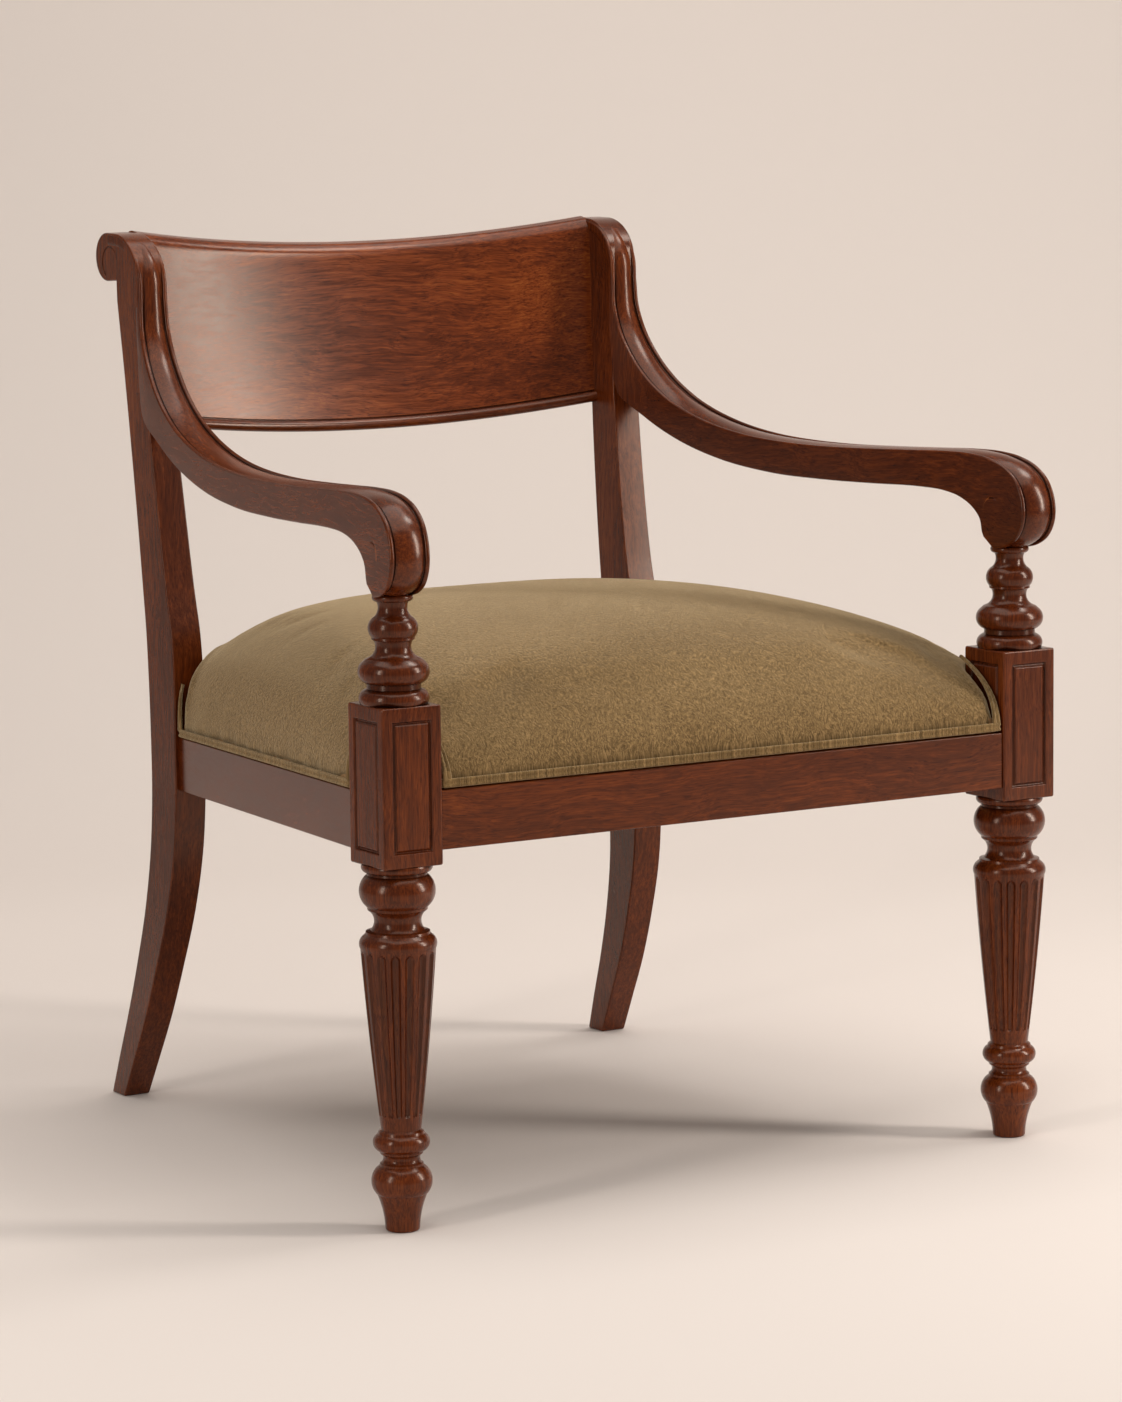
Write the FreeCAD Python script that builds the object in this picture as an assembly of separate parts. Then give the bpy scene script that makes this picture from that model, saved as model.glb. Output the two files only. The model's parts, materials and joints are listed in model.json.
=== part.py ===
import FreeCAD, Part
import math
import os

os.makedirs("parts", exist_ok=True)

V = FreeCAD.Vector

# Library armchair in mahogany with a domed upholstered seat.
# Millimetres, Z up, the sitter looks along -Y, X runs to the right.
# Distances "back" are counted from the axis of the front posts.

# overall layout
post_y = -303.7           # axis of the front posts
post_x = 310.0            # half the spacing of the front posts
block_w = 55.0            # square part of a post, across the chair
block_d = 58.0            # square part of a post, front to back
block_z0 = 306.0
block_z1 = 438.0
column_top = 527.0        # where the arm sits on the post

# seat rails
rail_h = 49.0
rail_top = 367.0
front_rail_t = 26.0
rail_inset = 2.0          # front and side rails behind the post faces
side_rail_t = 23.5
stile_inset = 4.4         # side rail behind the outer face of the stile
rear_rail_t = 26.0
rear_rail_back = 503.0    # front face of the rear rail
seat_fall = 18.5          # drop of the side rails from post to stile
tenon_l = 21.0
tenon_t = 10.0
tenon_h = 35.0

# rear stile at the rails
stile_front_back = 497.0
stile_x = 245.4
stile_t = 31.0

# arm
arm_half = 18.5           # half width of the arm in front
arm_half_top = 14.2       # half width of the facing at the crest
bead_w = 4.2
bead_r = 2.0
groove_w = 1.6
groove_r = 0.9
crown_r = 3.0
arm_tenon_r = 7.5
arm_tenon_l = 30.0

# back board
board_half = 243.0        # half length with the housed ends
board_span = 236.0        # half length between the stiles
board_bow = 25.0          # middle of the board bowed to the rear
board_dip = 17.0          # middle of the board lower than its ends
bead_h = 10.0
bead_gap = 1.2

# seat
frame_t = 12.0
frame_w = 50.0
dome_h = 128.0
cover_t = 3.0
seat_gap = 2.0            # cloth to wood at the posts and stiles
web_w = 50.0
web_t = 1.5
welt_h = 8.0
welt_t = 2.2
cord_r = 1.6


def at(back):
    return post_y + back


def save(name, shape):
    shape.exportStep("parts/%s.step" % name)


def box(x0, x1, y0, y1, z0, z1):
    return Part.makeBox(x1 - x0, y1 - y0, z1 - z0, V(x0, y0, z0))


def mirrored(shape):
    return shape.mirror(V(0, 0, 0), V(1, 0, 0))


def prism(points, z0, z1):
    pts = [V(x, y, z0) for x, y in points]
    face = Part.Face(Part.makePolygon(pts + [pts[0]]))
    return face.extrude(V(0, 0, z1 - z0))


def side_rail_outer(back):
    # half width of the seat over the outer faces of the side rails
    front = block_d / 2
    outer_front = post_x + block_w / 2 - rail_inset
    outer_rear = stile_x + stile_t / 2 - stile_inset
    k = (outer_front - outer_rear) / (stile_front_back - front)
    return outer_front - k * (back - front)


def seat_plane(back):
    # top of the rails, falling to the rear
    front = block_d / 2
    k = seat_fall / (stile_front_back - front)
    return rail_top - k * (back - front_rail_in)


front_rail_out = -block_d / 2 + rail_inset
front_rail_in = front_rail_out + front_rail_t
seat_angle = math.degrees(math.atan(seat_fall / (stile_front_back - block_d / 2)))


def tilted(shape):
    # seat parts are drawn level, then laid on the falling rails
    moved = shape.copy()
    moved.rotate(V(0, at(front_rail_in), rail_top), V(1, 0, 0), -seat_angle)
    return moved


# Front post: turned and fluted leg, square block, turned column.

def turned(path, cx, cy):
    # path: ("l", z, r) straight, ("a", zm, rm, z, r) arc through a middle point
    z, r = path[0][1], path[0][2]
    last = V(r, 0, z)
    edges = [Part.makeLine(V(0, 0, z), last)]
    for step in path[1:]:
        if step[0] == "l":
            end = V(step[2], 0, step[1])
            edges.append(Part.makeLine(last, end))
        else:
            end = V(step[4], 0, step[3])
            edges.append(Part.Arc(last, V(step[2], 0, step[1]), end).toShape())
        last = end
    edges.append(Part.makeLine(last, V(0, 0, last.z)))
    edges.append(Part.makeLine(V(0, 0, last.z), V(0, 0, z)))
    solid = Part.Face(Part.Wire(edges)).revolve(V(0, 0, 0), V(0, 0, 1), 360)
    solid.translate(V(cx, cy, 0))
    return solid


leg_path = [
    ("l", 0.0, 12.8),
    ("a", 0.5, 13.8, 1.6, 14.3),
    ("a", 18.0, 16.6, 31.0, 20.9),
    ("l", 31.4, 21.6),
    ("a", 42.0, 25.3, 52.6, 21.0),
    ("l", 54.8, 18.2),
    ("l", 56.6, 18.0),
    ("a", 60.6, 15.2, 64.8, 17.8),
    ("l", 66.6, 18.2),
    ("a", 74.0, 23.6, 81.4, 19.4),
    ("l", 83.4, 18.8),
    ("l", 85.0, 16.6),
    ("a", 165.0, 25.2, 236.0, 31.1),
    ("a", 241.8, 31.9, 246.8, 28.6),
    ("l", 248.4, 26.8),
    ("l", 250.4, 26.4),
    ("l", 251.4, 22.6),
    ("a", 259.2, 19.4, 267.4, 23.6),
    ("l", 268.4, 24.8),
    ("l", 270.4, 24.8),
    ("a", 284.0, 31.5, 297.4, 25.0),
    ("l", 299.4, 24.8),
    ("a", 301.0, 28.4, block_z0, 29.0),
    ("l", block_z0 + 1.0, 27.0),
]

column_path = [
    ("l", block_z1 - 1.0, 26.5),
    ("l", block_z1, 27.6),
    ("a", 444.0, 28.8, 449.6, 24.4),
    ("l", 450.6, 22.4),
    ("l", 454.4, 22.2),
    ("a", 464.4, 29.5, 472.6, 25.4),
    ("l", 474.6, 23.2),
    ("l", 475.4, 21.4),
    ("a", 486.4, 14.9, 489.8, 16.2),
    ("l", 490.6, 17.9),
    ("l", 492.4, 17.8),
    ("a", 500.8, 20.6, 509.2, 15.2),
    ("a", 516.6, 12.1, 521.6, 13.4),
    ("a", 523.4, 16.6, column_top - 0.8, 16.6),
    ("l", column_top, 15.8),
    ("l", column_top, arm_tenon_r),
    ("l", column_top + arm_tenon_l, arm_tenon_r),
]

flutes = 16
flute_z0, flute_z1 = 96.0, 230.0
flute_r0, flute_r1 = 1.35, 2.5


def taper_r(z):
    # radius of the fluted taper
    return 17.9 + (30.75 - 17.9) * (z - flute_z0) / (flute_z1 - flute_z0)


def flute():
    lift = 0.25
    a = V(taper_r(flute_z0) + lift, 0, flute_z0)
    b = V(taper_r(flute_z1) + lift, 0, flute_z1)
    cone = Part.makeCone(flute_r0, flute_r1, (b - a).Length, a, b - a)
    return cone.fuse(Part.makeSphere(flute_r1, b))


panel_side = 9.0
panel_end = 11.5
panel_depth = 1.8


def panel_cut(width, z0, z1):
    # sunk moulding round a raised field, drawn on the face y = 0, cutting to +y
    w = width / 2 - panel_side
    a, b = z0 + panel_end, z1 - panel_end
    s = panel_depth

    def ring(d, y):
        pts = [V(-w + d, y, a + d), V(w - d, y, a + d), V(w - d, y, b - d), V(-w + d, y, b - d)]
        return Part.makePolygon(pts + [pts[0]])

    outer = Part.makeLoft([ring(-0.5, -0.5), ring(s, s)], True, True)
    step = 0.9
    field = box(-w + s + step, w - s - step, -1.0, s + 1.0, a + s + step, b - s - step)
    sunk = outer.fuse(box(-w + s, w - s, 0.0, s, a + s, b - s))
    return sunk.cut(field)


def front_post():
    cx, cy = -post_x, post_y
    leg = turned(leg_path, cx, cy)
    for i in range(flutes):
        cutter = flute()
        cutter.rotate(V(0, 0, 0), V(0, 0, 1), 360.0 / flutes * (i + 0.5))
        cutter.translate(V(cx, cy, 0))
        leg = leg.cut(cutter)
    bw, bd = block_w / 2, block_d / 2
    block = box(cx - bw, cx + bw, cy - bd, cy + bd, block_z0, block_z1)
    rims = [e for e in block.Edges if abs(e.Length - block_w) < 0.1 or abs(e.Length - block_d) < 0.1]
    block = block.makeChamfer(0.8, rims)
    full = (block_z0, block_z1)
    short = (rail_top - panel_end + 5.0, block_z1)
    faces = [
        (0, block_w, bd, full),
        (-90, block_d, bw, full),
        (90, block_d, bw, short),
        (180, block_w, bd, short),
    ]
    for turn, width, reach, (z0, z1) in faces:
        cutter = panel_cut(width, z0, z1)
        cutter.translate(V(0, -reach, 0))
        cutter.rotate(V(0, 0, 0), V(0, 0, 1), turn)
        cutter.translate(V(cx, cy, 0))
        block = block.cut(cutter)
    column = turned(column_path, cx, cy)
    return leg.fuse(block).fuse(column)


# Rear stile: sabre leg below, raked upright above, scrolled crest.

def stile_section(z, front, back, x, t):
    a, b = at(front), at(back)
    pts = [V(-x - t / 2, a, z), V(-x + t / 2, a, z), V(-x + t / 2, b, z), V(-x - t / 2, b, z)]
    return Part.makePolygon(pts + [pts[0]])


stile_stations = [
    (0.0, 590.0, 616.0, 262.0, 26.0),
    (35.0, 571.5, 602.5, 260.3, 27.0),
    (80.0, 548.0, 584.5, 258.2, 28.0),
    (130.0, 527.3, 567.5, 255.6, 29.0),
    (185.0, 508.8, 553.5, 252.0, 30.0),
    (240.0, 499.0, 547.3, 248.2, 30.6),
    (290.0, stile_front_back, 546.5, 245.8, stile_t),
    (345.0, stile_front_back, 547.0, stile_x, stile_t),
    (395.0, stile_front_back - 0.6, 549.0, stile_x, stile_t - 0.4),
    (440.0, 500.0, 552.5, stile_x, 30.0),
    (480.0, 509.0, 557.5, 245.6, 29.4),
    (540.0, 519.5, 564.5, 246.3, 28.6),
    (600.0, 528.5, 571.0, 247.6, 28.0),
    (670.0, 537.5, 578.0, 249.8, 27.2),
    (745.0, 541.0, 585.0, 252.6, 27.0),
]

crest_x = 252.8
crest_t = 27.0
crest_z = 740.0           # the scrolled crest starts here
volute_c = (603.0, 779.7)
volute_r = 22.0
eye_c = (596.5, 774.0)
eye_r = 15.0


def stile():
    body = Part.makeLoft([stile_section(*s) for s in stile_stations], True, False)
    y0, z0 = at(volute_c[0]), volute_c[1]
    front = [
        V(0, at(541.0), crest_z),
        V(0, at(542.2), 765.0),
        V(0, at(547.0), 779.0),
        V(0, at(559.0), 792.0),
        V(0, at(577.0), 800.0),
        V(0, y0, z0 + volute_r),
    ]
    curve = Part.BSplineCurve()
    curve.interpolate(front)
    bottom = V(0, y0, z0 - volute_r)
    notch = V(0, at(585.0), z0 - volute_r + 1.0)
    heel = V(0, at(584.6), crest_z)
    edges = [
        curve.toShape(),
        Part.Arc(front[-1], V(0, y0 + volute_r + 1.5, z0), bottom).toShape(),
        Part.makeLine(bottom, notch),
        Part.makeLine(notch, heel),
        Part.makeLine(heel, front[0]),
    ]
    crest = Part.Face(Part.Wire(edges)).extrude(V(crest_t, 0, 0))
    crest.translate(V(-crest_x - crest_t / 2, 0, 0))
    groove = Part.makeTorus(eye_r, 1.1, V(0, 0, 0), V(1, 0, 0), -180, 180, 300)
    groove.rotate(V(0, 0, 0), V(1, 0, 0), 150)
    groove.translate(V(-crest_x - crest_t / 2, at(eye_c[0]), eye_c[1]))
    return body.fuse(crest).cut(groove)


# Arm: facing on the crest, sweep in front of the stile, level arm, front scroll.
# Each station: outer edge (back, z), inner edge (back, z).

arm_stations = [
    ((600.0, 798.8), (599.0, 790.6)),
    ((578.0, 796.6), (580.0, 788.6)),
    ((560.6, 789.6), (566.2, 783.2)),
    ((548.6, 778.0), (556.0, 773.6)),
    ((542.2, 765.0), (549.8, 764.0)),
    ((540.2, 742.0), (547.6, 742.0)),
    ((537.8, 718.0), (546.0, 722.0)),
    ((527.0, 693.0), (544.0, 704.0)),
    ((507.0, 668.5), (541.0, 686.0)),
    ((484.0, 649.8), (537.5, 664.0)),
    ((460.0, 636.0), (530.0, 638.5)),
    ((430.0, 623.8), (490.0, 616.6)),
    ((395.0, 614.2), (440.0, 597.0)),
    ((350.0, 606.4), (375.0, 581.4)),
    ((300.0, 602.2), (305.0, 573.6)),
    ((230.0, 600.8), (230.0, 571.8)),
    ((160.0, 602.5), (160.0, 572.6)),
    ((100.0, 604.8), (100.0, 573.9)),
    ((60.0, 606.2), (66.0, 572.6)),
    ((30.0, 605.8), (46.0, 568.8)),
    ((6.0, 602.6), (33.0, 563.6)),
    ((-14.0, 595.6), (25.0, 558.4)),
    ((-28.0, 584.4), (20.0, 553.6)),
    ((-35.6, 568.0), (17.5, 549.6)),
    ((-35.4, 551.0), (16.4, 546.0)),
    ((-28.0, 538.0), (15.8, 542.8)),
    ((-15.0, 530.2), (15.0, 539.8)),
    ((0.0, 527.0), (13.5, 537.0)),
]


def arm_x(back):
    # centre line of the arm, splayed outwards to the front
    rear = 543.0
    return post_x - (post_x - 251.2) * back / rear


def crest_half(z):
    # the facing narrows from the sweep of the arm to the crest
    low, high = 618.0, 745.0
    s = min(max((z - low) / (high - low), 0.0), 1.0)
    return arm_half + (arm_half_top - arm_half) * s


def arm_section(i):
    (yo, zo), (yi, zi) = arm_stations[i]
    n = len(arm_stations)
    if i in (0, n - 1):
        ny, nz = yo - yi, zo - zi
    else:
        (ya, za), (yb, zb) = arm_stations[i - 1][0], arm_stations[i + 1][0]
        ny, nz = -(zb - za), (yb - ya)
        if ny * (yo - yi) + nz * (zo - zi) < 0:
            ny, nz = -ny, -nz
    size = math.hypot(ny, nz)
    ny, nz = ny / size, nz / size
    h = crest_half(zo) if yo > 300 else arm_half
    xo = arm_x(min(yo, 543.0)) + max(yo - 543.0, 0.0) * 0.03
    xi = arm_x(min(yi, 543.0)) + max(yi - 543.0, 0.0) * 0.03

    def p(dx, lift):
        return V(-xo + dx, at(yo + ny * lift), zo + nz * lift)

    low_l = V(-xi - h, at(yi), zi)
    low_r = V(-xi + h, at(yi), zi)
    b, g = bead_w, groove_w
    edges = [
        Part.makeLine(low_l, p(-h, 0)),
        Part.Arc(p(-h, 0), p(-h + b / 2, bead_r), p(-h + b, 0)).toShape(),
        Part.Arc(p(-h + b, 0), p(-h + b + g / 2, -groove_r), p(-h + b + g, 0)).toShape(),
        Part.Arc(p(-h + b + g, 0), p(0, crown_r), p(h - b - g, 0)).toShape(),
        Part.Arc(p(h - b - g, 0), p(h - b - g / 2, -groove_r), p(h - b, 0)).toShape(),
        Part.Arc(p(h - b, 0), p(h - b / 2, bead_r), p(h, 0)).toShape(),
        Part.makeLine(p(h, 0), low_r),
        Part.makeLine(low_r, low_l),
    ]
    return Part.Wire(edges)


def arm():
    wires = [arm_section(i) for i in range(len(arm_stations))]
    return Part.makeLoft(wires, True, False)


def scroll_groove(x_face):
    # carved line round the eye of the front scroll
    ring = Part.makeTorus(11.5, 0.9, V(0, 0, 0), V(1, 0, 0), -180, 180, 290)
    ring.rotate(V(0, 0, 0), V(1, 0, 0), 160)
    ring.translate(V(x_face, at(3.0), 560.0))
    return ring


# Rails with tenons.

rail_z0 = rail_top - rail_h


def inner_x(back):
    # inner face of a side rail
    return side_rail_outer(back) - side_rail_t


def front_tenon():
    x0 = -(post_x - block_w / 2) - tenon_l
    y0 = at(front_rail_out + front_rail_t / 2 - tenon_t / 2)
    z0 = rail_z0 + (rail_h - tenon_h) / 2
    return box(x0, x0 + tenon_l + 5.0, y0, y0 + tenon_t, z0, z0 + tenon_h)


def front_rail():
    half = post_x - block_w / 2
    body = box(-half, half, at(front_rail_out), at(front_rail_in), rail_z0, rail_top)
    return body.fuse(front_tenon()).fuse(mirrored(front_tenon()))


def side_tenon(back0, back1, back):
    x = -(side_rail_outer(back) - side_rail_t / 2)
    z = seat_plane(back) - rail_h / 2
    return box(x - tenon_t / 2, x + tenon_t / 2, at(back0), at(back1), z - tenon_h / 2, z + tenon_h / 2)


side_tenon_front = (block_d / 2 - tenon_l, block_d / 2 + 5.0, block_d / 2)
side_tenon_rear = (stile_front_back - 5.0, stile_front_back + 16.0, stile_front_back)


def side_rail_body():
    wires = []
    for back in (block_d / 2, stile_front_back + 3.0):
        xo, xi, y = -side_rail_outer(back), -inner_x(back), at(back)
        z1 = seat_plane(back)
        z0 = z1 - rail_h
        pts = [V(xo, y, z0), V(xi, y, z0), V(xi, y, z1), V(xo, y, z1)]
        wires.append(Part.makePolygon(pts + [pts[0]]))
    return Part.makeLoft(wires, True, True)


rear_top = seat_plane(rear_rail_back + rear_rail_t)
stile_inner = stile_x - stile_t / 2


def rear_tenon():
    y0 = at(rear_rail_back + rear_rail_t - 14.0)
    z0 = rear_top - (rail_h + tenon_h) / 2
    return box(-stile_inner - 14.0, -stile_inner + 8.0, y0, y0 + tenon_t, z0, z0 + tenon_h)


def rear_rail_body():
    half = stile_inner + 1.5
    y0 = at(rear_rail_back)
    return box(-half, half, y0, y0 + rear_rail_t, rear_top - rail_h, rear_top)


# Corner blocks inside the seat, with their screws.

block_leg = 60.0
block_h = 36.0
shank_r = 2.2
head_r = 4.2
head_h = 3.0
head_sink = 1.5


def screw(start, direction, length):
    # countersunk screw and the hole cleared above its head
    d = V(direction)
    d.normalize()
    top = start + d * head_sink
    head = Part.makeCone(head_r, shank_r, head_h, top, d)
    shank = Part.makeCylinder(shank_r, length - head_sink - head_h, top + d * head_h, d)
    clear = Part.makeCylinder(head_r, head_sink + 14.0, top - d * (head_sink + 14.0), d)
    return head.fuse(shank), clear


corner_front = [
    (-(post_x - block_w / 2), front_rail_in),
    (-(post_x - block_w / 2) + block_leg, front_rail_in),
    (-inner_x(92.0), 92.0),
    (-inner_x(block_d / 2), block_d / 2),
    (-(post_x - block_w / 2), block_d / 2),
]
corner_rear = [
    (-stile_inner + 0.5, rear_rail_back),
    (-stile_inner + 0.5 + block_leg - 5.0, rear_rail_back),
    (-inner_x(440.0), 440.0),
    (-inner_x(496.0), 496.0),
    (-stile_inner + 0.5, 496.0),
]
corner_front_z = rail_z0 + 4.0
corner_rear_z = rear_top - rail_h + 7.0


def on_line(a, b, value, axis):
    # point on the sloping face of a corner block
    s = (value - a[axis]) / (b[axis] - a[axis])
    return (a[0] + (b[0] - a[0]) * s, a[1] + (b[1] - a[1]) * s)


def corner_block(outline, z0):
    return prism([(x, at(b)) for x, b in outline], z0, z0 + block_h)


def corner_screws(outline, z0, x_value, back_value, to_front):
    a, b = outline[1], outline[2]
    z = z0 + block_h / 2
    px, pb = on_line(a, b, x_value, 0)
    rail_face = front_rail_in if to_front else rear_rail_back
    first = screw(V(px, at(pb), z), V(0, -1 if to_front else 1, 0), abs(pb - rail_face) + 15.0)
    qx, qb = on_line(a, b, back_value, 1)
    second = screw(V(qx, at(qb), z), V(-1, 0, 0), abs(qx + inner_x(qb)) + 14.0)
    return first, second


# Seat: frame on the rails, webbing, hessian, stuffing, cover, welts.

def seat_outline(inset):
    front = front_rail_out + 1.0 + inset
    xa = post_x - block_w / 2 - seat_gap - inset
    yb = block_d / 2 + seat_gap + inset
    ys = stile_front_back - seat_gap - inset
    xs = stile_inner - seat_gap - inset
    yr = rear_rail_back + rear_rail_t - 1.0 - inset
    half = [
        (xa, front),
        (xa, yb),
        (side_rail_outer(yb) - 0.5 - inset, yb),
        (side_rail_outer(ys) - 0.5 - inset, ys),
        (xs, ys),
        (xs, yr),
    ]
    return half


def seat_prism(inset, z0, z1):
    half = seat_outline(inset)
    pts = [(x, at(b)) for x, b in half] + [(-x, at(b)) for x, b in reversed(half)]
    return tilted(prism(pts, rail_top + z0, rail_top + z1))


dome_front = front_rail_out + 1.0
dome_rear = rear_rail_back + rear_rail_t - 1.0
dome_crown = 0.25         # crown behind the middle, share of half the depth
side_n, side_m = 3.16, 3.71
front_n, front_m = 1.92, 2.36
rear_n, rear_m = 2.91, 4.7


def dome_share(v):
    # height share from front (v = -1) to rear (v = 1)
    if v < dome_crown:
        s, n, m = (v - dome_crown) / (1 + dome_crown), front_n, front_m
    else:
        s, n, m = (v - dome_crown) / (1 - dome_crown), rear_n, rear_m
    return max(1 - abs(s) ** n, 0.0) ** (1 / m)


def side_share(u):
    return max(1 - abs(u) ** side_n, 0.0) ** (1 / side_m)


def dome_point(u, v, inset):
    mid, reach = (dome_front + dome_rear) / 2, (dome_rear - dome_front) / 2 - inset
    back = mid + reach * v
    x = (side_rail_outer(back) - 0.5 - inset) * u
    rise = (dome_h - inset) * side_share(u) * dome_share(v)
    return V(x, at(back), seat_plane(back) + 0.5 + rise)


def spread(t, power):
    # crowds the rows towards the steep edges
    return math.copysign(1 - (1 - abs(t)) ** power, t)


def dome(inset, rows=24):
    grid = []
    for i in range(rows + 1):
        t = 2.0 * i / rows - 1
        u = spread(t, side_m * 0.8)
        line = []
        for j in range(rows + 1):
            s = 2.0 * j / rows - 1
            if s < 0:
                v = dome_crown + (1 + dome_crown) * spread(s, front_m)
            else:
                v = dome_crown + (1 - dome_crown) * spread(s, rear_m * 0.7)
            line.append(dome_point(u, v, inset))
        grid.append(line)
    surface = Part.BSplineSurface()
    surface.interpolate(grid)
    top = surface.toShape()
    base = Part.Face(Part.Wire(Part.__sortEdges__(top.Edges)))
    solid = Part.Solid(Part.Shell([top, base]))
    if solid.Volume < 0:
        solid.reverse()
    return solid


def notched(solid, inset):
    half = seat_outline(inset)
    far, low, high = 420.0, rail_top - 60.0, rail_top + dome_h + 30.0
    xa, yb, ys, xs = half[0][0], half[1][1], half[3][1], half[4][0]
    for sign in (-1, 1):
        for x, b0, b1 in ((xa, dome_front - 40.0, yb), (xs, ys, dome_rear + 40.0)):
            x0, x1 = sorted((sign * x, sign * far))
            solid = solid.cut(box(x0, x1, at(b0), at(b1), low, high))
    return solid


pad_z0 = frame_t + 2 * web_t + 2.0


def frame_bars():
    half = seat_outline(cover_t)
    (xa, front), (_, yb), (xf, _), (xr, ys), (xs, _), (_, yr) = half
    whole = seat_prism(cover_t, 0.0, frame_t)
    b0, b1 = front + frame_w + 8.0, yr - frame_w
    w0 = side_rail_outer(b0) - cover_t - frame_w
    w1 = side_rail_outer(b1) - cover_t - frame_w
    hole = [(-w0, at(b0)), (w0, at(b0)), (w1, at(b1)), (-w1, at(b1))]
    whole = whole.cut(tilted(prism(hole, rail_top - 1.0, rail_top + frame_t + 1.0)))
    cut0 = tilted(box(-400, 400, at(-60.0), at(b0), rail_top - 2.0, rail_top + frame_t + 2.0))
    cut1 = tilted(box(-400, 400, at(b1), at(600.0), rail_top - 2.0, rail_top + frame_t + 2.0))
    sides = whole.cut(cut0).cut(cut1)
    left, right = sorted(sides.Solids, key=lambda s: s.CenterOfMass.x)
    return whole.common(cut0), whole.common(cut1), left, right


web_x = [-150.0, -50.0, 50.0, 150.0]
web_back = [110.0, 210.0, 310.0, 410.0]
tack_r, tack_head_r, tack_head_h, tack_l = 0.9, 3.0, 0.8, 9.0


def tack(x, back, z):
    head = Part.makeCylinder(tack_head_r, tack_head_h, V(x, at(back), z))
    return head.fuse(Part.makeCylinder(tack_r, tack_l, V(x, at(back), z - tack_l)))


def webbing():
    z0 = rail_top + frame_t
    long_strips, cross_strips, tacks = [], [], []
    b0, b1 = seat_outline(0)[0][1] + 22.0, seat_outline(0)[5][1] - 22.0
    for x in web_x:
        long_strips.append(tilted(box(x - web_w / 2, x + web_w / 2, at(b0), at(b1), z0, z0 + web_t)))
        for b in (b0 + 7.0, b1 - 7.0):
            for dx in (-14.0, 14.0):
                tacks.append(tilted(tack(x + dx, b, z0 + web_t)))
    for b in web_back:
        reach = side_rail_outer(b + web_w / 2) - 22.0
        z1 = z0 + web_t
        cross_strips.append(tilted(box(-reach, reach, at(b - web_w / 2), at(b + web_w / 2), z1, z1 + web_t)))
        for x in (reach - 7.0, 7.0 - reach):
            for db in (-14.0, 14.0):
                tacks.append(tilted(tack(x, b + db, z1 + web_t)))
    return long_strips, cross_strips, tacks


def dust_sheet():
    half = [
        (post_x - block_w / 2 - 2.0, front_rail_in + 2.0),
        (post_x - block_w / 2 - 2.0, block_d / 2 + 2.0),
        (inner_x(block_d / 2 + 2.0) - 2.0, block_d / 2 + 2.0),
        (inner_x(stile_front_back - 2.0) - 2.0, stile_front_back - 2.0),
        (stile_inner - 2.0, stile_front_back - 2.0),
        (stile_inner - 2.0, rear_rail_back - 2.0),
    ]
    pts = [(x, at(b)) for x, b in half] + [(-x, at(b)) for x, b in reversed(half)]
    return tilted(prism(pts, rail_top - 0.8, rail_top))


def welt_piece(p, q):
    # flat band with a cord along each edge, laid from p to q in the level plane
    a, b = V(p[0], at(p[1]), rail_top), V(q[0], at(q[1]), rail_top)
    run = b - a
    length = run.Length
    z = 0.6
    flat = Part.makeBox(length, 1.8, welt_h, V(0, -0.8, z))
    for zc in (z + 1.5, z + welt_h - 1.5):
        flat = flat.fuse(Part.makeCylinder(1.5, length, V(0, 0.7, zc), V(1, 0, 0)))
    flat.rotate(V(0, 0, 0), V(0, 0, 1), math.degrees(math.atan2(run.y, run.x)))
    flat.translate(a)
    return tilted(flat)


def welt_band(outer):
    (xa, yf), _, (xf, yb), (xr, ys), (xs, _), (_, yr) = seat_outline(0)
    runs = [
        ((xa, yf), (-xa, yf)),
        ((-xs, yr), (xs, yr)),
        ((-xf, yb), (-xr, ys)),
        ((xr, ys), (xf, yb)),
    ]
    return [welt_piece(p, q).cut(outer) for p, q in runs]


def cord(points):
    curve = Part.BSplineCurve()
    curve.interpolate(points)
    path = Part.Wire(curve.toShape())
    tangent = curve.tangent(curve.FirstParameter)[0]
    ring = Part.Wire(Part.makeCircle(cord_r, points[0], tangent))
    return path.makePipeShell([ring], True, True)


def surface_point(x, back):
    mid, reach = (dome_front + dome_rear) / 2, (dome_rear - dome_front) / 2
    v = (back - mid) / reach
    u = x / (side_rail_outer(back) - 0.5)
    return V(x, at(back), seat_plane(back) + 0.5 + dome_h * side_share(u) * dome_share(v))


def corner_cords(outer):
    half = seat_outline(0)
    xa, yb, ys = half[0][0], half[1][1], half[3][1]
    paths = []
    x = -(xa - cord_r - 0.2)
    paths.append([surface_point(x, dome_front + d) for d in (0.05, 0.5, 2.0, 6.0, 12.0, 20.0)])
    for b in (yb + cord_r + 0.2, ys - cord_r - 0.2):
        reach = side_rail_outer(b) - 0.5
        paths.append([surface_point(-(reach - d), b) for d in (0.05, 0.3, 1.2, 3.5, 7.0, 12.0)])
    out = []
    floor_cut = tilted(box(-400, 400, at(-80), at(600), rail_top - 20.0, rail_top + welt_h + 0.7))
    for points in paths:
        piece = cord(points).cut(floor_cut).cut(outer)
        piece = max(piece.Solids, key=lambda s: s.Volume)
        out += [piece, mirrored(piece)]
    return out


# Back board: bowed tablet with a rolled top edge and a bead below.

def swept_board(profile_edges):
    wires = []
    steps = 6
    for i in range(steps + 1):
        x = -board_half + 2 * board_half * i / steps
        s = 1 - (x / board_span) ** 2
        wire = Part.Wire([e.copy() for e in profile_edges])
        wire.translate(V(x, board_bow * s, -board_dip * s))
        wires.append(wire)
    return Part.makeLoft(wires, True, False)


board_z0 = 626.0


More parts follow.
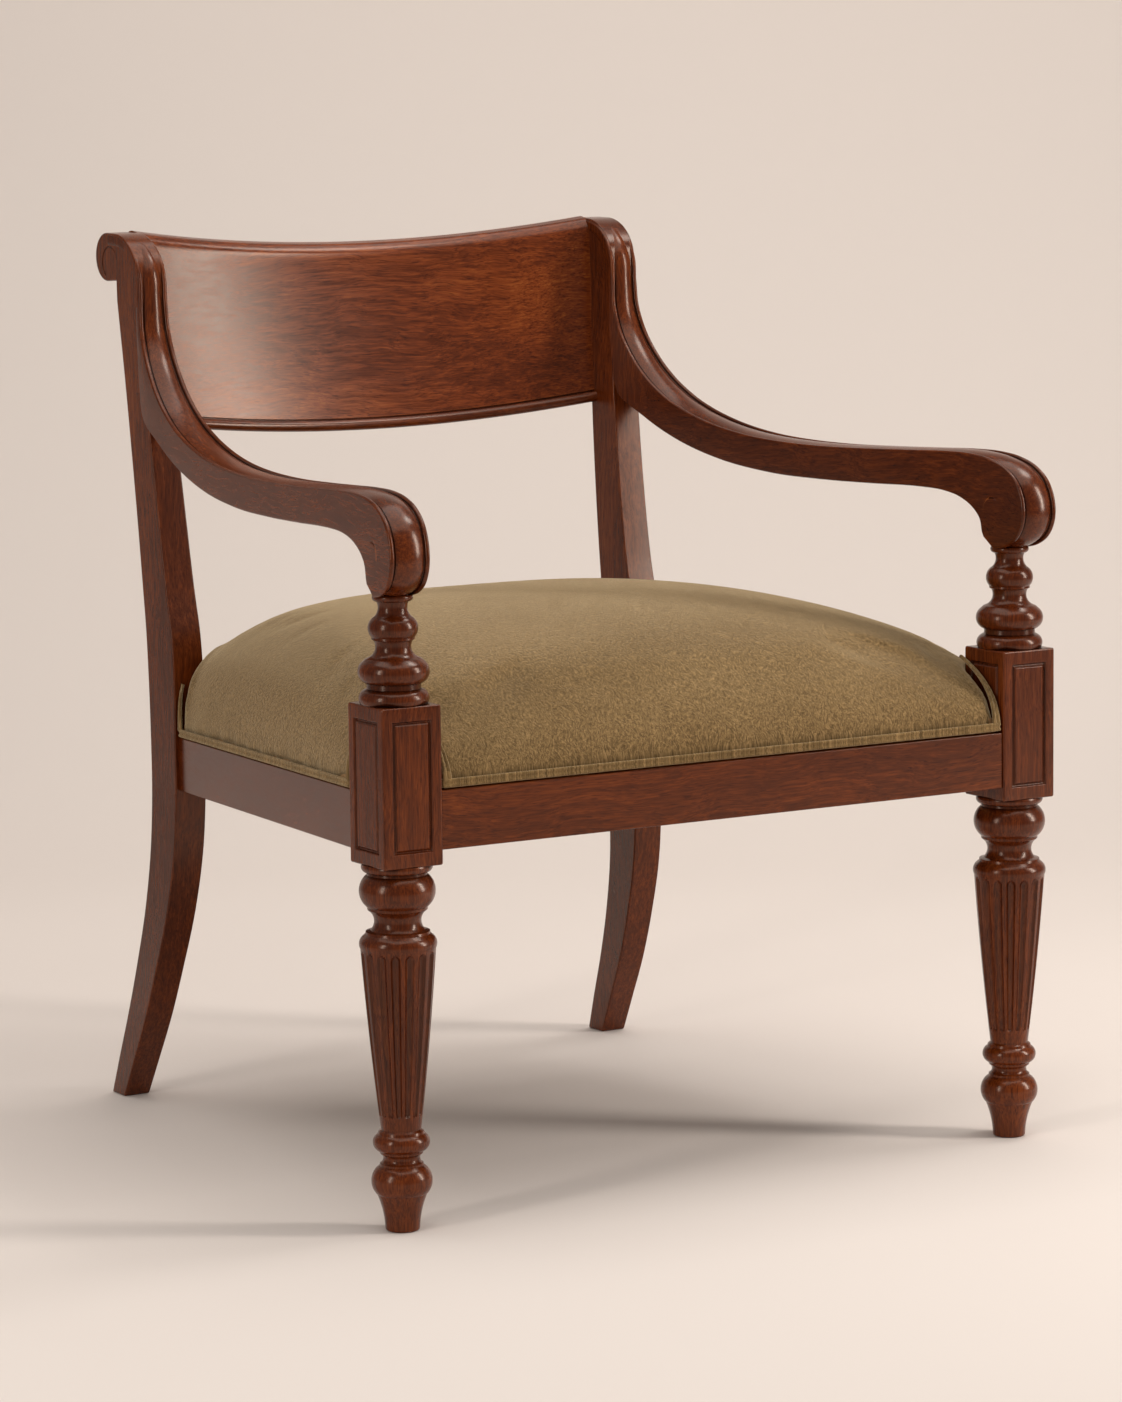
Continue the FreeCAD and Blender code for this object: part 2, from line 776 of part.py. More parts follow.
def profile(points):
    # points: (back, z) straight, (back_mid, z_mid, back, z) arc; closed outline
    last = V(0, at(points[0][0]), points[0][1])
    first, edges = last, []
    for p in points[1:]:
        if len(p) == 2:
            end = V(0, at(p[0]), p[1])
            edges.append(Part.makeLine(last, end))
        else:
            end = V(0, at(p[2]), p[3])
            edges.append(Part.Arc(last, V(0, at(p[0]), p[1]), end).toShape())
        last = end
    edges.append(Part.makeLine(last, first))
    return edges


def back_board():
    z1 = board_z0 + bead_h + bead_gap
    return swept_board(profile([
        (571.0, board_z0),
        (571.0, z1),
        (568.4, z1),
        (577.6, 700.0, 580.5, 774.0),
        (586.6, 793.6, 602.0, 800.8),
        (617.2, 797.6, 621.6, 783.0),
        (616.6, 771.4, 606.0, 769.0),
        (600.4, 765.6, 598.4, 757.0),
        (595.0, 690.0, 584.0, board_z0),
    ]))


def back_board_bead():
    z0, z1 = board_z0, board_z0 + bead_h
    return swept_board(profile([
        (571.0, z0),
        (567.4, z0),
        (562.8, z0 + bead_h / 2, 567.4, z1),
        (571.0, z1),
    ]))


arm_screw_z = (668.0, 646.0)
plug_r = 4.6


def arm_fixings(stile_body):
    screws, holes, plugs = [], [], []
    x = -249.0
    for z in arm_screw_z:
        head_back, tip_back = 565.0, 518.0
        shank = Part.makeCylinder(2.5, head_back - tip_back, V(x, at(tip_back), z), V(0, 1, 0))
        head = Part.makeCylinder(4.4, 3.0, V(x, at(head_back), z), V(0, 1, 0))
        screws.append(shank.fuse(head))
        bore = Part.makeCylinder(plug_r, 40.0, V(x, at(head_back), z), V(0, 1, 0))
        holes.append(bore)
        plug = Part.makeCylinder(plug_r, 37.0, V(x, at(head_back + 3.0), z), V(0, 1, 0))
        plugs.append(plug.common(stile_body))
    return screws, holes, plugs


def compound(shapes):
    return Part.makeCompound(shapes)


def main():
    post = front_post()
    stile_body = stile()
    arm_body = arm()

    post_left = post.cut(front_tenon()).cut(side_tenon(*side_tenon_front))

    side_body = side_rail_body().cut(stile_body)
    side = side_body.fuse(side_tenon(*side_tenon_front)).fuse(side_tenon(*side_tenon_rear))
    rear = rear_rail_body().cut(stile_body).cut(mirrored(stile_body))
    rear = rear.fuse(rear_tenon()).fuse(mirrored(rear_tenon()))

    screws, holes, plugs = arm_fixings(stile_body)
    board = back_board().cut(arm_body).cut(mirrored(arm_body))
    bead = back_board_bead()
    arm_left = arm_body.cut(post)
    for g in (-1, 1):
        arm_left = arm_left.cut(scroll_groove(-post_x + g * arm_half))
    stile_left = stile_body.cut(arm_body).cut(board).cut(bead)
    stile_left = stile_left.cut(side_tenon(*side_tenon_rear)).cut(rear_tenon())
    for s, h in zip(screws, holes):
        arm_left = arm_left.cut(s)
        stile_left = stile_left.cut(s).cut(h)

    save("front_post_left", post_left)
    save("front_post_right", mirrored(post_left))
    save("rear_stile_left", stile_left)
    save("rear_stile_right", mirrored(stile_left))
    save("arm_left", arm_left)
    save("arm_right", mirrored(arm_left))
    save("back_board", board)
    save("back_board_bead", bead)
    save("arm_screws", compound(screws + [mirrored(s) for s in screws]))
    save("arm_screw_plugs", compound(plugs + [mirrored(p) for p in plugs]))

    front = front_rail()
    block_f = corner_block(corner_front, corner_front_z)
    block_r = corner_block(corner_rear, corner_rear_z)
    screws_f = corner_screws(corner_front, corner_front_z, -250.0, 55.0, True)
    screws_r = corner_screws(corner_rear, corner_rear_z, -203.0, 458.0, False)
    seat_f = screw(V(-266.0, at(12.0), corner_front_z), V(0, 0, 1), 52.0)
    seat_r = screw(V(-218.0, at(488.0), corner_rear_z), V(0, 0, 1), 50.0)
    for body, clear in screws_f + (seat_f,):
        block_f = block_f.cut(body).cut(clear)
        front = front.cut(body).cut(mirrored(body))
        side = side.cut(body)
    for body, clear in screws_r + (seat_r,):
        block_r = block_r.cut(body).cut(clear)
        rear = rear.cut(body).cut(mirrored(body))
        side = side.cut(body)
    block_screws = [s[0] for s in screws_f + screws_r]
    seat_screws = [seat_f[0], seat_r[0]]

    save("front_rail", front)
    save("rear_rail", rear)
    save("side_rail_left", side)
    save("side_rail_right", mirrored(side))
    save("corner_block_front_left", block_f)
    save("corner_block_front_right", mirrored(block_f))
    save("corner_block_rear_left", block_r)
    save("corner_block_rear_right", mirrored(block_r))
    save("corner_block_screws", compound(block_screws + [mirrored(s) for s in block_screws]))
    seat_screws += [mirrored(s) for s in seat_screws]
    save("seat_screws", compound(seat_screws))

    long_strips, cross_strips, tacks = webbing()
    tack_set = compound(tacks)
    screw_set = compound(seat_screws)
    names = ("seat_frame_front", "seat_frame_rear", "seat_frame_left", "seat_frame_right")
    for name, bar in zip(names, frame_bars()):
        save(name, bar.cut(tack_set).cut(screw_set))
    save("webbing_front_to_back", compound([s.cut(tack_set) for s in long_strips]))
    save("webbing_side_to_side", compound([s.cut(tack_set) for s in cross_strips]))
    save("webbing_tacks", tack_set)
    save("hessian", seat_prism(cover_t + 6.0, frame_t + 2 * web_t + 1.0, pad_z0))
    save("dust_cover", dust_sheet().cut(screw_set))

    outer = dome(0.0)
    inner = notched(dome(cover_t), cover_t)
    cover = notched(outer, 0.0).cut(inner).cut(seat_prism(cover_t, -3.0, pad_z0))
    pad = inner.cut(seat_prism(-60.0, -60.0, pad_z0))
    save("seat_cover", cover)
    save("seat_stuffing", pad)
    save("welt_band", compound(welt_band(outer)))
    save("corner_cords", compound(corner_cords(outer)))


main()
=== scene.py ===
import json
import math

import bmesh
import bpy
import numpy as np
from mathutils import Matrix, Vector


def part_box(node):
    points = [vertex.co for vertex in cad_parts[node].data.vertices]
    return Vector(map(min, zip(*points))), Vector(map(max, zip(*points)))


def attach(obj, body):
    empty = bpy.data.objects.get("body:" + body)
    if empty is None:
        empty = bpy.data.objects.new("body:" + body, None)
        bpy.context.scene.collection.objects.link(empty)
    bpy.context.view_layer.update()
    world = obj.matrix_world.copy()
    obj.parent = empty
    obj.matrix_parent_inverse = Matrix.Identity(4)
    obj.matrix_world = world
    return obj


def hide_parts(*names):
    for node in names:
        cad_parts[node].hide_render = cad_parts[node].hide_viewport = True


# Library armchair in French polished mahogany with a domed mohair seat.
# Shapes are worked out in millimetres and become metres when a mesh is made.
# "back" is a distance behind the axis of the front posts.

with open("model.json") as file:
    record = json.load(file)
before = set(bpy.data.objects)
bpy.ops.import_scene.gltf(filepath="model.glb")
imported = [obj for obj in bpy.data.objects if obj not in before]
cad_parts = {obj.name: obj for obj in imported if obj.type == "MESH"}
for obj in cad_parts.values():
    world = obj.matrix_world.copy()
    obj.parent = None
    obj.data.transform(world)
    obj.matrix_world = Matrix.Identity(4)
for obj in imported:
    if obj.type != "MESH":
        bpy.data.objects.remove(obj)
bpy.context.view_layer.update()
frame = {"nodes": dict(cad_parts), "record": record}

MM = 0.001
BODY = "root"


def node_box(name):
    low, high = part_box(name)
    return low / MM, high / MM


# Sizes that the frame gives

post_low, post_high = node_box("front_post_left")
rail_low, rail_high = node_box("front_rail")
stile_low, stile_high = node_box("rear_stile_left")
cover_low, cover_high = node_box("seat_cover")

POST_X = -(post_low.x + post_high.x) / 2
POST_Y = (post_low.y + post_high.y) / 2
RAIL_TOP = rail_high.z
RAIL_H = rail_high.z - rail_low.z

# Sizes of the front post

BLOCK_W = 55.0
BLOCK_D = 58.0
BLOCK_Z0 = 306.0
BLOCK_Z1 = 438.0
FLUTES = 16
FLUTE_COLUMNS = 16        # mesh columns to one flute and its land
FLUTE_SHARE = 10 / 16     # width of a flute as a share of that
FLUTE_Z0 = 97.0
FLUTE_Z1 = 234.0

# Sizes of the rails and the rear stile at the rails

RAIL_INSET = 2.0
FRONT_RAIL_T = 26.0
SIDE_RAIL_T = 23.5
REAR_RAIL_T = 26.0
REAR_RAIL_BACK = 503.0
STILE_FRONT = 497.0
STILE_X = 245.4
STILE_T = 31.0
STILE_INSET = 4.4
SEAT_FALL = 18.5

# Sizes of the arm

ARM_HALF = 18.5
ARM_HALF_TOP = 14.2
ARM_REAR_X = 251.2
ARM_REAR_BACK = 543.0

# Sizes of the back board

BOARD_HALF = 241.0
BOARD_SPAN = 236.0
BOARD_BOW = 25.0
BOARD_DIP = 17.0
BOARD_Z0 = 626.0
BEAD_H = 10.0

# Sizes of the seat

DOME_H = 128.0
DOME_CROWN = 0.25
SIDE_N, SIDE_M = 3.16, 3.71
FRONT_N, FRONT_M = 1.92, 2.36
REAR_N, REAR_M = 2.91, 4.7
SEAT_GAP = 2.0
WELT_H = 7.2
STRIP_LIFT = 0.9           # corner piping above the cloth


def at(back):
    return POST_Y + back


def side_rail_outer(back):
    front = BLOCK_D / 2
    outer_front = POST_X + BLOCK_W / 2 - RAIL_INSET
    outer_rear = STILE_X + STILE_T / 2 - STILE_INSET
    return outer_front - (outer_front - outer_rear) * (back - front) / (STILE_FRONT - front)


FRONT_OUT = -BLOCK_D / 2 + RAIL_INSET
FRONT_IN = FRONT_OUT + FRONT_RAIL_T


def seat_plane(back):
    return RAIL_TOP - SEAT_FALL * (back - FRONT_IN) / (STILE_FRONT - BLOCK_D / 2)


# Materials


def srgb(code, alpha=1.0):
    # linear colour of an sRGB hex code
    parts = [int(code[i:i + 2], 16) / 255 for i in (1, 3, 5)]
    return tuple(c / 12.92 if c <= 0.04045 else ((c + 0.055) / 1.055) ** 2.4 for c in parts) + (alpha,)


def add(tree, kind, inputs=None, output=0, stops=None, **settings):
    # one node with its settings; an input takes a value or another node's socket,
    # and stops are the places and colours of a ramp
    made = tree.nodes.new(kind)
    for name, value in settings.items():
        setattr(made, name, value)
    for key, given in (inputs or {}).items():
        if isinstance(given, bpy.types.NodeSocket):
            tree.links.new(given, made.inputs[key])
        else:
            made.inputs[key].default_value = given
    if stops:
        band = made.color_ramp
        while len(band.elements) < len(stops):
            band.elements.new(0.5)
        for element, (place, colour) in zip(band.elements, stops):
            element.position = place
            element.color = srgb(colour)
    return made.outputs[output] if made.outputs else made


MATH = "ShaderNodeMath"
VECTOR = "ShaderNodeVectorMath"
RAMP = "ShaderNodeValToRGB"
MIX = "ShaderNodeMix"
MIX_FACTOR, MIX_A, MIX_B, MIXED = 0, 6, 7, 2      # sockets of a colour mix


def new_material(name):
    material = bpy.data.materials.new(name)
    material.use_nodes = True
    material.node_tree.nodes.clear()
    return material, material.node_tree


def drawn_out(tree, vector, cycles, detail, rough=0.5):
    # a mottle drawn out along the grain or nap; cycles per metre along x, y and z
    mapped = add(tree, "ShaderNodeMapping", {"Vector": vector, "Scale": cycles})
    return add(tree, "ShaderNodeTexNoise",
               {"Vector": mapped, "Scale": 1.0, "Detail": detail, "Roughness": rough, "Distortion": 0.0})


def mahogany(name, tones=("#3a1305", "#4d1e07", "#61290b", "#803d14"), fineness=1.0, grain_attribute=True):
    # French polished mahogany: red-brown with a ribbon figure, short dark pores
    # drawn out along the grain, painted shade in the quirks and creases, and edges rubbed paler.
    # Real pores are 0.2 mm wide; they are drawn 1 mm wide so that they show.
    material, tree = new_material(name)
    if grain_attribute:
        where = add(tree, "ShaderNodeAttribute", output="Vector", attribute_name="grain")
    else:
        where = add(tree, "ShaderNodeTexCoord", output="Object")
    drift = drawn_out(tree, where, (9.0, 14.0, 14.0), 2.0)
    centred = add(tree, MATH, {0: drift, 1: 0.5}, operation="SUBTRACT")
    lift = add(tree, MATH, {0: centred, 1: 0.024}, operation="MULTIPLY")
    wander = add(tree, "ShaderNodeCombineXYZ", {"X": 0.0, "Y": lift, "Z": lift})
    wavy = add(tree, VECTOR, {0: where, 1: wander}, operation="ADD")
    across = 300.0 * fineness
    ribbon = drawn_out(tree, wavy, (2.5, 12.0, 12.0), 2.0)
    figure = drawn_out(tree, wavy, (16.0, across, across), 3.0, 0.55)
    lines = drawn_out(tree, wavy, (42.0, 850.0, 850.0), 2.0, 0.6)
    pores = drawn_out(tree, wavy, (75.0, 1100.0, 1100.0), 1.0)
    ribbon_part = add(tree, MATH, {0: ribbon, 1: 0.32}, operation="MULTIPLY")
    figure_part = add(tree, MATH, {0: figure, 1: 0.34}, operation="MULTIPLY")
    lines_part = add(tree, MATH, {0: lines, 1: 0.34}, operation="MULTIPLY")
    fine = add(tree, MATH, {0: figure_part, 1: lines_part}, operation="ADD")
    tone = add(tree, MATH, {0: ribbon_part, 1: fine}, operation="ADD")
    body = add(tree, RAMP, {"Fac": tone}, stops=list(zip((0.32, 0.46, 0.55, 0.70), tones)))
    pore_mask = add(tree, RAMP, {"Fac": pores}, stops=[(0.32, "#b4a8a2"), (0.42, "#ffffff")])
    porous = add(tree, MIX, {MIX_FACTOR: 0.8, MIX_A: body, MIX_B: pore_mask}, MIXED,
                 data_type="RGBA", blend_type="MULTIPLY")
    # painted shade: occlusion within 9 mm darkens quirks, flutes and creases towards a near-black brown
    painted_crease_shade = add(tree, "ShaderNodeAmbientOcclusion", {"Distance": 0.009}, "AO", samples=6, only_local=True)
    shade = add(tree, RAMP, {"Fac": painted_crease_shade}, stops=[(0.30, "#2a150e"), (0.85, "#ffffff")])
    shaded = add(tree, MIX, {MIX_FACTOR: 1.0, MIX_A: porous, MIX_B: shade}, MIXED,
                 data_type="RGBA", blend_type="MULTIPLY")
    edge = add(tree, "ShaderNodeAmbientOcclusion", {"Distance": 0.003}, "AO", samples=6,
               only_local=True, inside=True)
    worn = add(tree, RAMP, {"Fac": edge}, stops=[(0.25, "#ffffff"), (0.62, "#000000")])
    wear = add(tree, MATH, {0: worn, 1: 0.55}, operation="MULTIPLY")
    rubbed = add(tree, MIX, {MIX_FACTOR: wear, MIX_A: shaded, MIX_B: srgb("#b0602c")}, MIXED,
                 data_type="RGBA")
    dulled = add(tree, MATH, {0: figure, 1: 0.12}, operation="MULTIPLY")
    rough = add(tree, MATH, {0: dulled, 1: 0.17}, operation="ADD")
    relief = add(tree, "ShaderNodeBump", {"Height": pores, "Strength": 0.06, "Distance": 0.0004})
    polish = add(tree, "ShaderNodeBsdfPrincipled",
                 {"Base Color": rubbed, "Roughness": rough, "Normal": relief, "IOR": 1.42,
                  "Specular Tint": srgb("#ffe9d8")})
    add(tree, "ShaderNodeOutputMaterial", {"Surface": polish})
    return material


def mohair(name):
    # Short mohair pile, brushed by use: strokes that wander, pale where the tips
    # catch the light and deeper where the pile parts. Real tufts are 0.5 mm wide;
    # they are drawn about 1.5 mm wide and 5 mm long so that they show.
    material, tree = new_material(name)
    nap = add(tree, "ShaderNodeAttribute", output="Vector", attribute_name="nap")
    moved = nap
    pushes = []
    for cycles, reach in ((22.0, 0.026), (90.0, 0.006)):
        swirl = add(tree, "ShaderNodeTexNoise", {"Vector": nap, "Scale": cycles, "Detail": 2.0}, "Color")
        centred = add(tree, VECTOR, {0: swirl, 1: (0.5, 0.5, 0.5)}, operation="SUBTRACT")
        pushes.append(add(tree, VECTOR, {0: centred, 3: reach}, operation="SCALE"))
    for push in pushes:
        moved = add(tree, VECTOR, {0: moved, 1: push}, operation="ADD")
    strokes = drawn_out(tree, moved, (640.0, 210.0, 640.0), 2.0, 0.6)
    specks = drawn_out(tree, nap, (1300.0, 800.0, 1300.0), 1.0)
    cloud = drawn_out(tree, nap, (9.0, 9.0, 9.0), 3.0)
    stroke_part = add(tree, MATH, {0: strokes, 1: 0.65}, operation="MULTIPLY")
    speck_part = add(tree, MATH, {0: specks, 1: 0.35}, operation="MULTIPLY")
    tips = add(tree, MATH, {0: stroke_part, 1: speck_part}, operation="ADD")
    body = add(tree, RAMP, {"Fac": tips}, stops=[(0.36, "#58442a"), (0.5, "#78603e"), (0.64, "#9d7f55")])
    patch = add(tree, RAMP, {"Fac": cloud}, stops=[(0.3, "#e6e2dc"), (0.7, "#ffffff")])
    colour = add(tree, MIX, {MIX_FACTOR: 0.8, MIX_A: body, MIX_B: patch}, MIXED,
                 data_type="RGBA", blend_type="MULTIPLY")
    relief = add(tree, "ShaderNodeBump", {"Height": tips, "Strength": 0.8, "Distance": 0.0015})
    pile = add(tree, "ShaderNodeBsdfPrincipled",
               {"Base Color": colour, "Normal": relief, "Roughness": 0.95, "IOR": 1.4,
                "Specular IOR Level": 0.15, "Sheen Weight": 1.0, "Sheen Roughness": 0.35,
                "Sheen Tint": srgb("#f4dcb4")})
    add(tree, "ShaderNodeOutputMaterial", {"Surface": pile})
    return material


def mottled(name, dark, light, cycles, roughness, metallic=0.0):
    # bare or dull surfaces inside the seat, mottled at the scale of their own texture
    material, tree = new_material(name)
    where = add(tree, "ShaderNodeTexCoord", output="Object")
    mottle = drawn_out(tree, where, cycles, 3.0)
    colour = add(tree, RAMP, {"Fac": mottle}, stops=[(0.35, dark), (0.65, light)])
    relief = add(tree, "ShaderNodeBump", {"Height": mottle, "Strength": 0.3, "Distance": 0.0005})
    surface = add(tree, "ShaderNodeBsdfPrincipled",
                  {"Base Color": colour, "Normal": relief, "Roughness": roughness, "Metallic": metallic})
    add(tree, "ShaderNodeOutputMaterial", {"Surface": surface})
    return material


def weave(name, dark, light, thread):
    # plain weave of round threads, thread spacing in millimetres; the lift of 1.0
    # keeps it in the paler half of its two tones
    material, tree = new_material(name)
    where = add(tree, "ShaderNodeTexCoord", output="Object")
    turns = 2 * math.pi / (2 * thread * MM)
    waves = []
    for axis in ("X", "Y"):
        place_along = add(tree, "ShaderNodeSeparateXYZ", {"Vector": where}, axis)
        angle = add(tree, MATH, {0: place_along, 1: turns}, operation="MULTIPLY")
        waves.append(add(tree, MATH, {0: angle}, operation="SINE"))
    crossing = add(tree, MATH, {0: waves[0], 1: waves[1]}, operation="MULTIPLY")
    lifted = add(tree, MATH, {0: crossing, 1: 0.5, 2: 1.0}, operation="MULTIPLY_ADD")
    colour = add(tree, RAMP, {"Fac": lifted}, stops=[(0.2, dark), (0.8, light)])
    relief = add(tree, "ShaderNodeBump", {"Height": lifted, "Strength": 0.5, "Distance": 0.0006})
    cloth = add(tree, "ShaderNodeBsdfPrincipled",
                {"Base Color": colour, "Normal": relief, "Roughness": 0.9, "Specular IOR Level": 0.2})
    add(tree, "ShaderNodeOutputMaterial", {"Surface": cloth})
    return material


MAHOGANY = mahogany("french_polished_mahogany")
SHOW_WOOD = mahogany("figured_mahogany_board", ("#381407", "#57230a", "#713110", "#934c1c"), 0.85)
MOHAIR = mohair("olive_mohair_pile")
BEECH = mottled("bare_beech", "#9a7248", "#b98f60", (160.0, 160.0, 160.0), 0.7)
STEEL = mottled("bright_steel", "#6e6c68", "#8c8a85", (300.0, 300.0, 300.0), 0.35, 1.0)
JUTE = weave("jute_webbing", "#6b5433", "#a88c5c", 1.2)
CURLED_HAIR = mottled("curled_hair_stuffing", "#4a3a28", "#857050", (400.0, 400.0, 400.0), 0.95)
BLACK_LINING = weave("black_cambric_lining", "#0c0c0c", "#232222", 0.6)


# Mesh helpers


def smooth_rows(rows, per_gap):
    # a cubic through all rows, with per_gap steps from one row to the next
    rows = np.array(rows, float)
    t = np.concatenate([[0.0], np.cumsum(np.linalg.norm(np.diff(rows, axis=0), axis=1))])
    slopes = np.gradient(rows, t, axis=0)
    out = []
    for i in range(len(rows) - 1):
        h = t[i + 1] - t[i]
        for s in np.arange(per_gap) / per_gap:
            a = (1 + 2 * s) * (1 - s) ** 2
            b = s * (1 - s) ** 2 * h
            c = s * s * (3 - 2 * s)
            d = s * s * (s - 1) * h
            out.append(a * rows[i] + b * slopes[i] + c * rows[i + 1] + d * slopes[i + 1])
    out.append(rows[-1])
    return np.array(out)


def arc_points(start, middle, end, steps):
    # points after start on the circle through three points of a plane
    (ax, ay), (bx, by), (cx, cy) = start, middle, end
    d = 2 * (ax * (by - cy) + bx * (cy - ay) + cx * (ay - by))
    sa, sb, sc = ax * ax + ay * ay, bx * bx + by * by, cx * cx + cy * cy
    ox = (sa * (by - cy) + sb * (cy - ay) + sc * (ay - by)) / d
    oy = (sa * (cx - bx) + sb * (ax - cx) + sc * (bx - ax)) / d
    radius = math.hypot(ax - ox, ay - oy)
    a0 = math.atan2(ay - oy, ax - ox)
    am = math.atan2(by - oy, bx - ox)
    a1 = math.atan2(cy - oy, cx - ox)
    turn = (a1 - a0) % (2 * math.pi)
    if (am - a0) % (2 * math.pi) > turn:
        turn -= 2 * math.pi
    angles = [a0 + turn * i / steps for i in range(1, steps + 1)]
    return [(ox + radius * math.cos(a), oy + radius * math.sin(a)) for a in angles]


def loft_faces(rows, columns, closed_rows=False, caps=True):
    # quads over a stack of closed rings
    faces = []
    last = rows if closed_rows else rows - 1
    for i in range(last):
        j = (i + 1) % rows
        for k in range(columns):
            m = (k + 1) % columns
            faces.append((i * columns + k, i * columns + m, j * columns + m, j * columns + k))
    if caps:
        faces.append(tuple(reversed(range(columns))))
        faces.append(tuple((rows - 1) * columns + k for k in range(columns)))
    return faces


def raw_mesh(name, points, faces):
    mesh = bpy.data.meshes.new(name)
    mesh.from_pydata([tuple(c * MM for c in p) for p in points], [], faces)
    outward(mesh)
    return mesh


def outward(mesh, merge=0.0):
    work = bmesh.new()
    work.from_mesh(mesh)
    if merge:
        bmesh.ops.remove_doubles(work, verts=work.verts, dist=merge)
    bmesh.ops.recalc_face_normals(work, faces=work.faces)
    work.to_mesh(mesh)
    work.free()


def place(mesh, name):
    made = bpy.data.objects.new(name, mesh)
    bpy.context.scene.collection.objects.link(made)
    return made


def applied(made):
    # the object with its modifiers' result as its plain mesh
    graph = bpy.context.evaluated_depsgraph_get()
    mesh = bpy.data.meshes.new_from_object(made.evaluated_get(graph))
    old = made.data
    made.modifiers.clear()
    made.data = mesh
    mesh.name = made.name
    bpy.data.meshes.remove(old)
    return made


def rounded(made, width, segments=2, angle=38.0, method="ANGLE"):
    bevel = made.modifiers.new("rounded_edges", "BEVEL")
    bevel.width = width * MM
    bevel.segments = segments
    bevel.limit_method = method
    bevel.angle_limit = math.radians(angle)
    bevel.use_clamp_overlap = True
    bevel.harden_normals = False
    return applied(made)


def carved(made, cutter):
    # cuts a groove and drops the cutting tube
    cut = made.modifiers.new("carved_line", "BOOLEAN")
    cut.operation = "DIFFERENCE"
    cut.solver = "EXACT"
    cut.object = cutter
    applied(made)
    bpy.data.objects.remove(cutter)
    return made


def grained(made, direction, seed):
    # writes where each point lies in the plank: x along the grain, in metres
    mesh = made.data
    co = np.zeros(len(mesh.vertices) * 3, np.float32)
    mesh.vertices.foreach_get("co", co)
    co = co.reshape(-1, 3)
    out = direction(co) + np.array([0.37, 0.23, 0.51]) * seed
    store = mesh.attributes.get("grain") or mesh.attributes.new("grain", "FLOAT_VECTOR", "POINT")
    store.data.foreach_set("vector", out.astype(np.float32).ravel())


def grain_z(co):
    return co[:, [2, 0, 1]]


def grain_x(co):
    return co[:, [0, 1, 2]]


def grain_y(co):
    return co[:, [1, 0, 2]]


def finish_piece(made, material, nodes, sharp=32.0):
    mesh = made.data
    mesh.materials.clear()
    mesh.materials.append(material)
    mesh.shade_smooth()
    mesh.set_sharp_from_angle(angle=math.radians(sharp))
    if material in (MAHOGANY, SHOW_WOOD):
        flats = made.modifiers.new("flat_faces", "WEIGHTED_NORMAL")
        flats.keep_sharp = True
        flats.weight = 60
        applied(made)
    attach(made, BODY)
    if nodes:
        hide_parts(*nodes)
    return made


def mirror_mesh(mesh, name):
    copy = mesh.copy()
    copy.name = name
    copy.transform(Matrix.Scale(-1, 4, (1, 0, 0)))
    copy.flip_normals()
    return copy


def both_sides(build, name, nodes, material, direction, seed, sharp=32.0):
    # a left piece and its mirror image, each with its own run of grain
    left = place(build(), "left_" + name)
    right = place(mirror_mesh(left.data, "right_" + name), "right_" + name)
    for made, side, number in ((left, "left", seed), (right, "right", seed + 1)):
        grained(made, direction, number)
        finish_piece(made, material, [n.format(side) for n in nodes], sharp)
    return left, right


# Front posts: turned and fluted leg, panelled block, turned column

LEG_PATH = [
    (0.0, 12.8),
    (0.5, 13.8, 1.6, 14.3),
    (18.0, 16.6, 31.0, 20.9),
    (31.4, 21.6),
    (42.0, 25.3, 52.6, 21.0),
    (54.8, 18.2),
    (56.6, 18.0),
    (60.6, 15.2, 64.8, 17.8),
    (66.6, 18.2),
    (74.0, 23.6, 81.4, 19.4),
    (83.4, 18.8),
    (85.0, 16.6),
    (165.0, 25.2, 236.0, 31.1),
    (241.8, 31.9, 246.8, 28.6),
    (248.4, 26.8),
    (250.4, 26.4),
    (251.4, 22.6),
    (259.2, 19.4, 267.4, 23.6),
    (268.4, 24.8),
    (270.4, 24.8),
    (284.0, 31.5, 297.4, 25.0),
    (299.4, 24.8),
    (301.0, 28.4, BLOCK_Z0, 29.0),
    (BLOCK_Z0 + 1.0, 27.0),
]

COLUMN_PATH = [
    (BLOCK_Z1 - 1.0, 26.5),
    (BLOCK_Z1, 27.6),
    (444.0, 28.8, 449.6, 24.4),
    (450.6, 22.4),
    (454.4, 22.2),
    (464.4, 29.5, 472.6, 25.4),
    (474.6, 23.2),
    (475.4, 21.4),
    (486.4, 14.9, 489.8, 16.2),
    (490.6, 17.9),
    (492.4, 17.8),
    (500.8, 20.6, 509.2, 15.2),
    (516.6, 12.1, 521.6, 13.4),
    (523.4, 16.6, 526.2, 16.6),
    (527.0, 15.8),
]


def turned_outline(path):
    # (height, radius) points down to about a millimetre apart on curves
    points = [path[0]]
    for step in path[1:]:
        if len(step) == 2:
            points.append(step)
        else:
            reach = abs(step[2] - points[-1][0]) + abs(step[3] - points[-1][1])
            points += arc_points(points[-1], step[:2], step[2:], max(6, int(reach / 1.3)))
    return points


def turned(path, segments):
    outline = turned_outline(path)
    points = []
    for z, r in outline:
        for k in range(segments):
            a = 2 * math.pi * (k + 0.5) / segments
            points.append((r * math.cos(a), r * math.sin(a), z))
    return points, loft_faces(len(outline), segments)


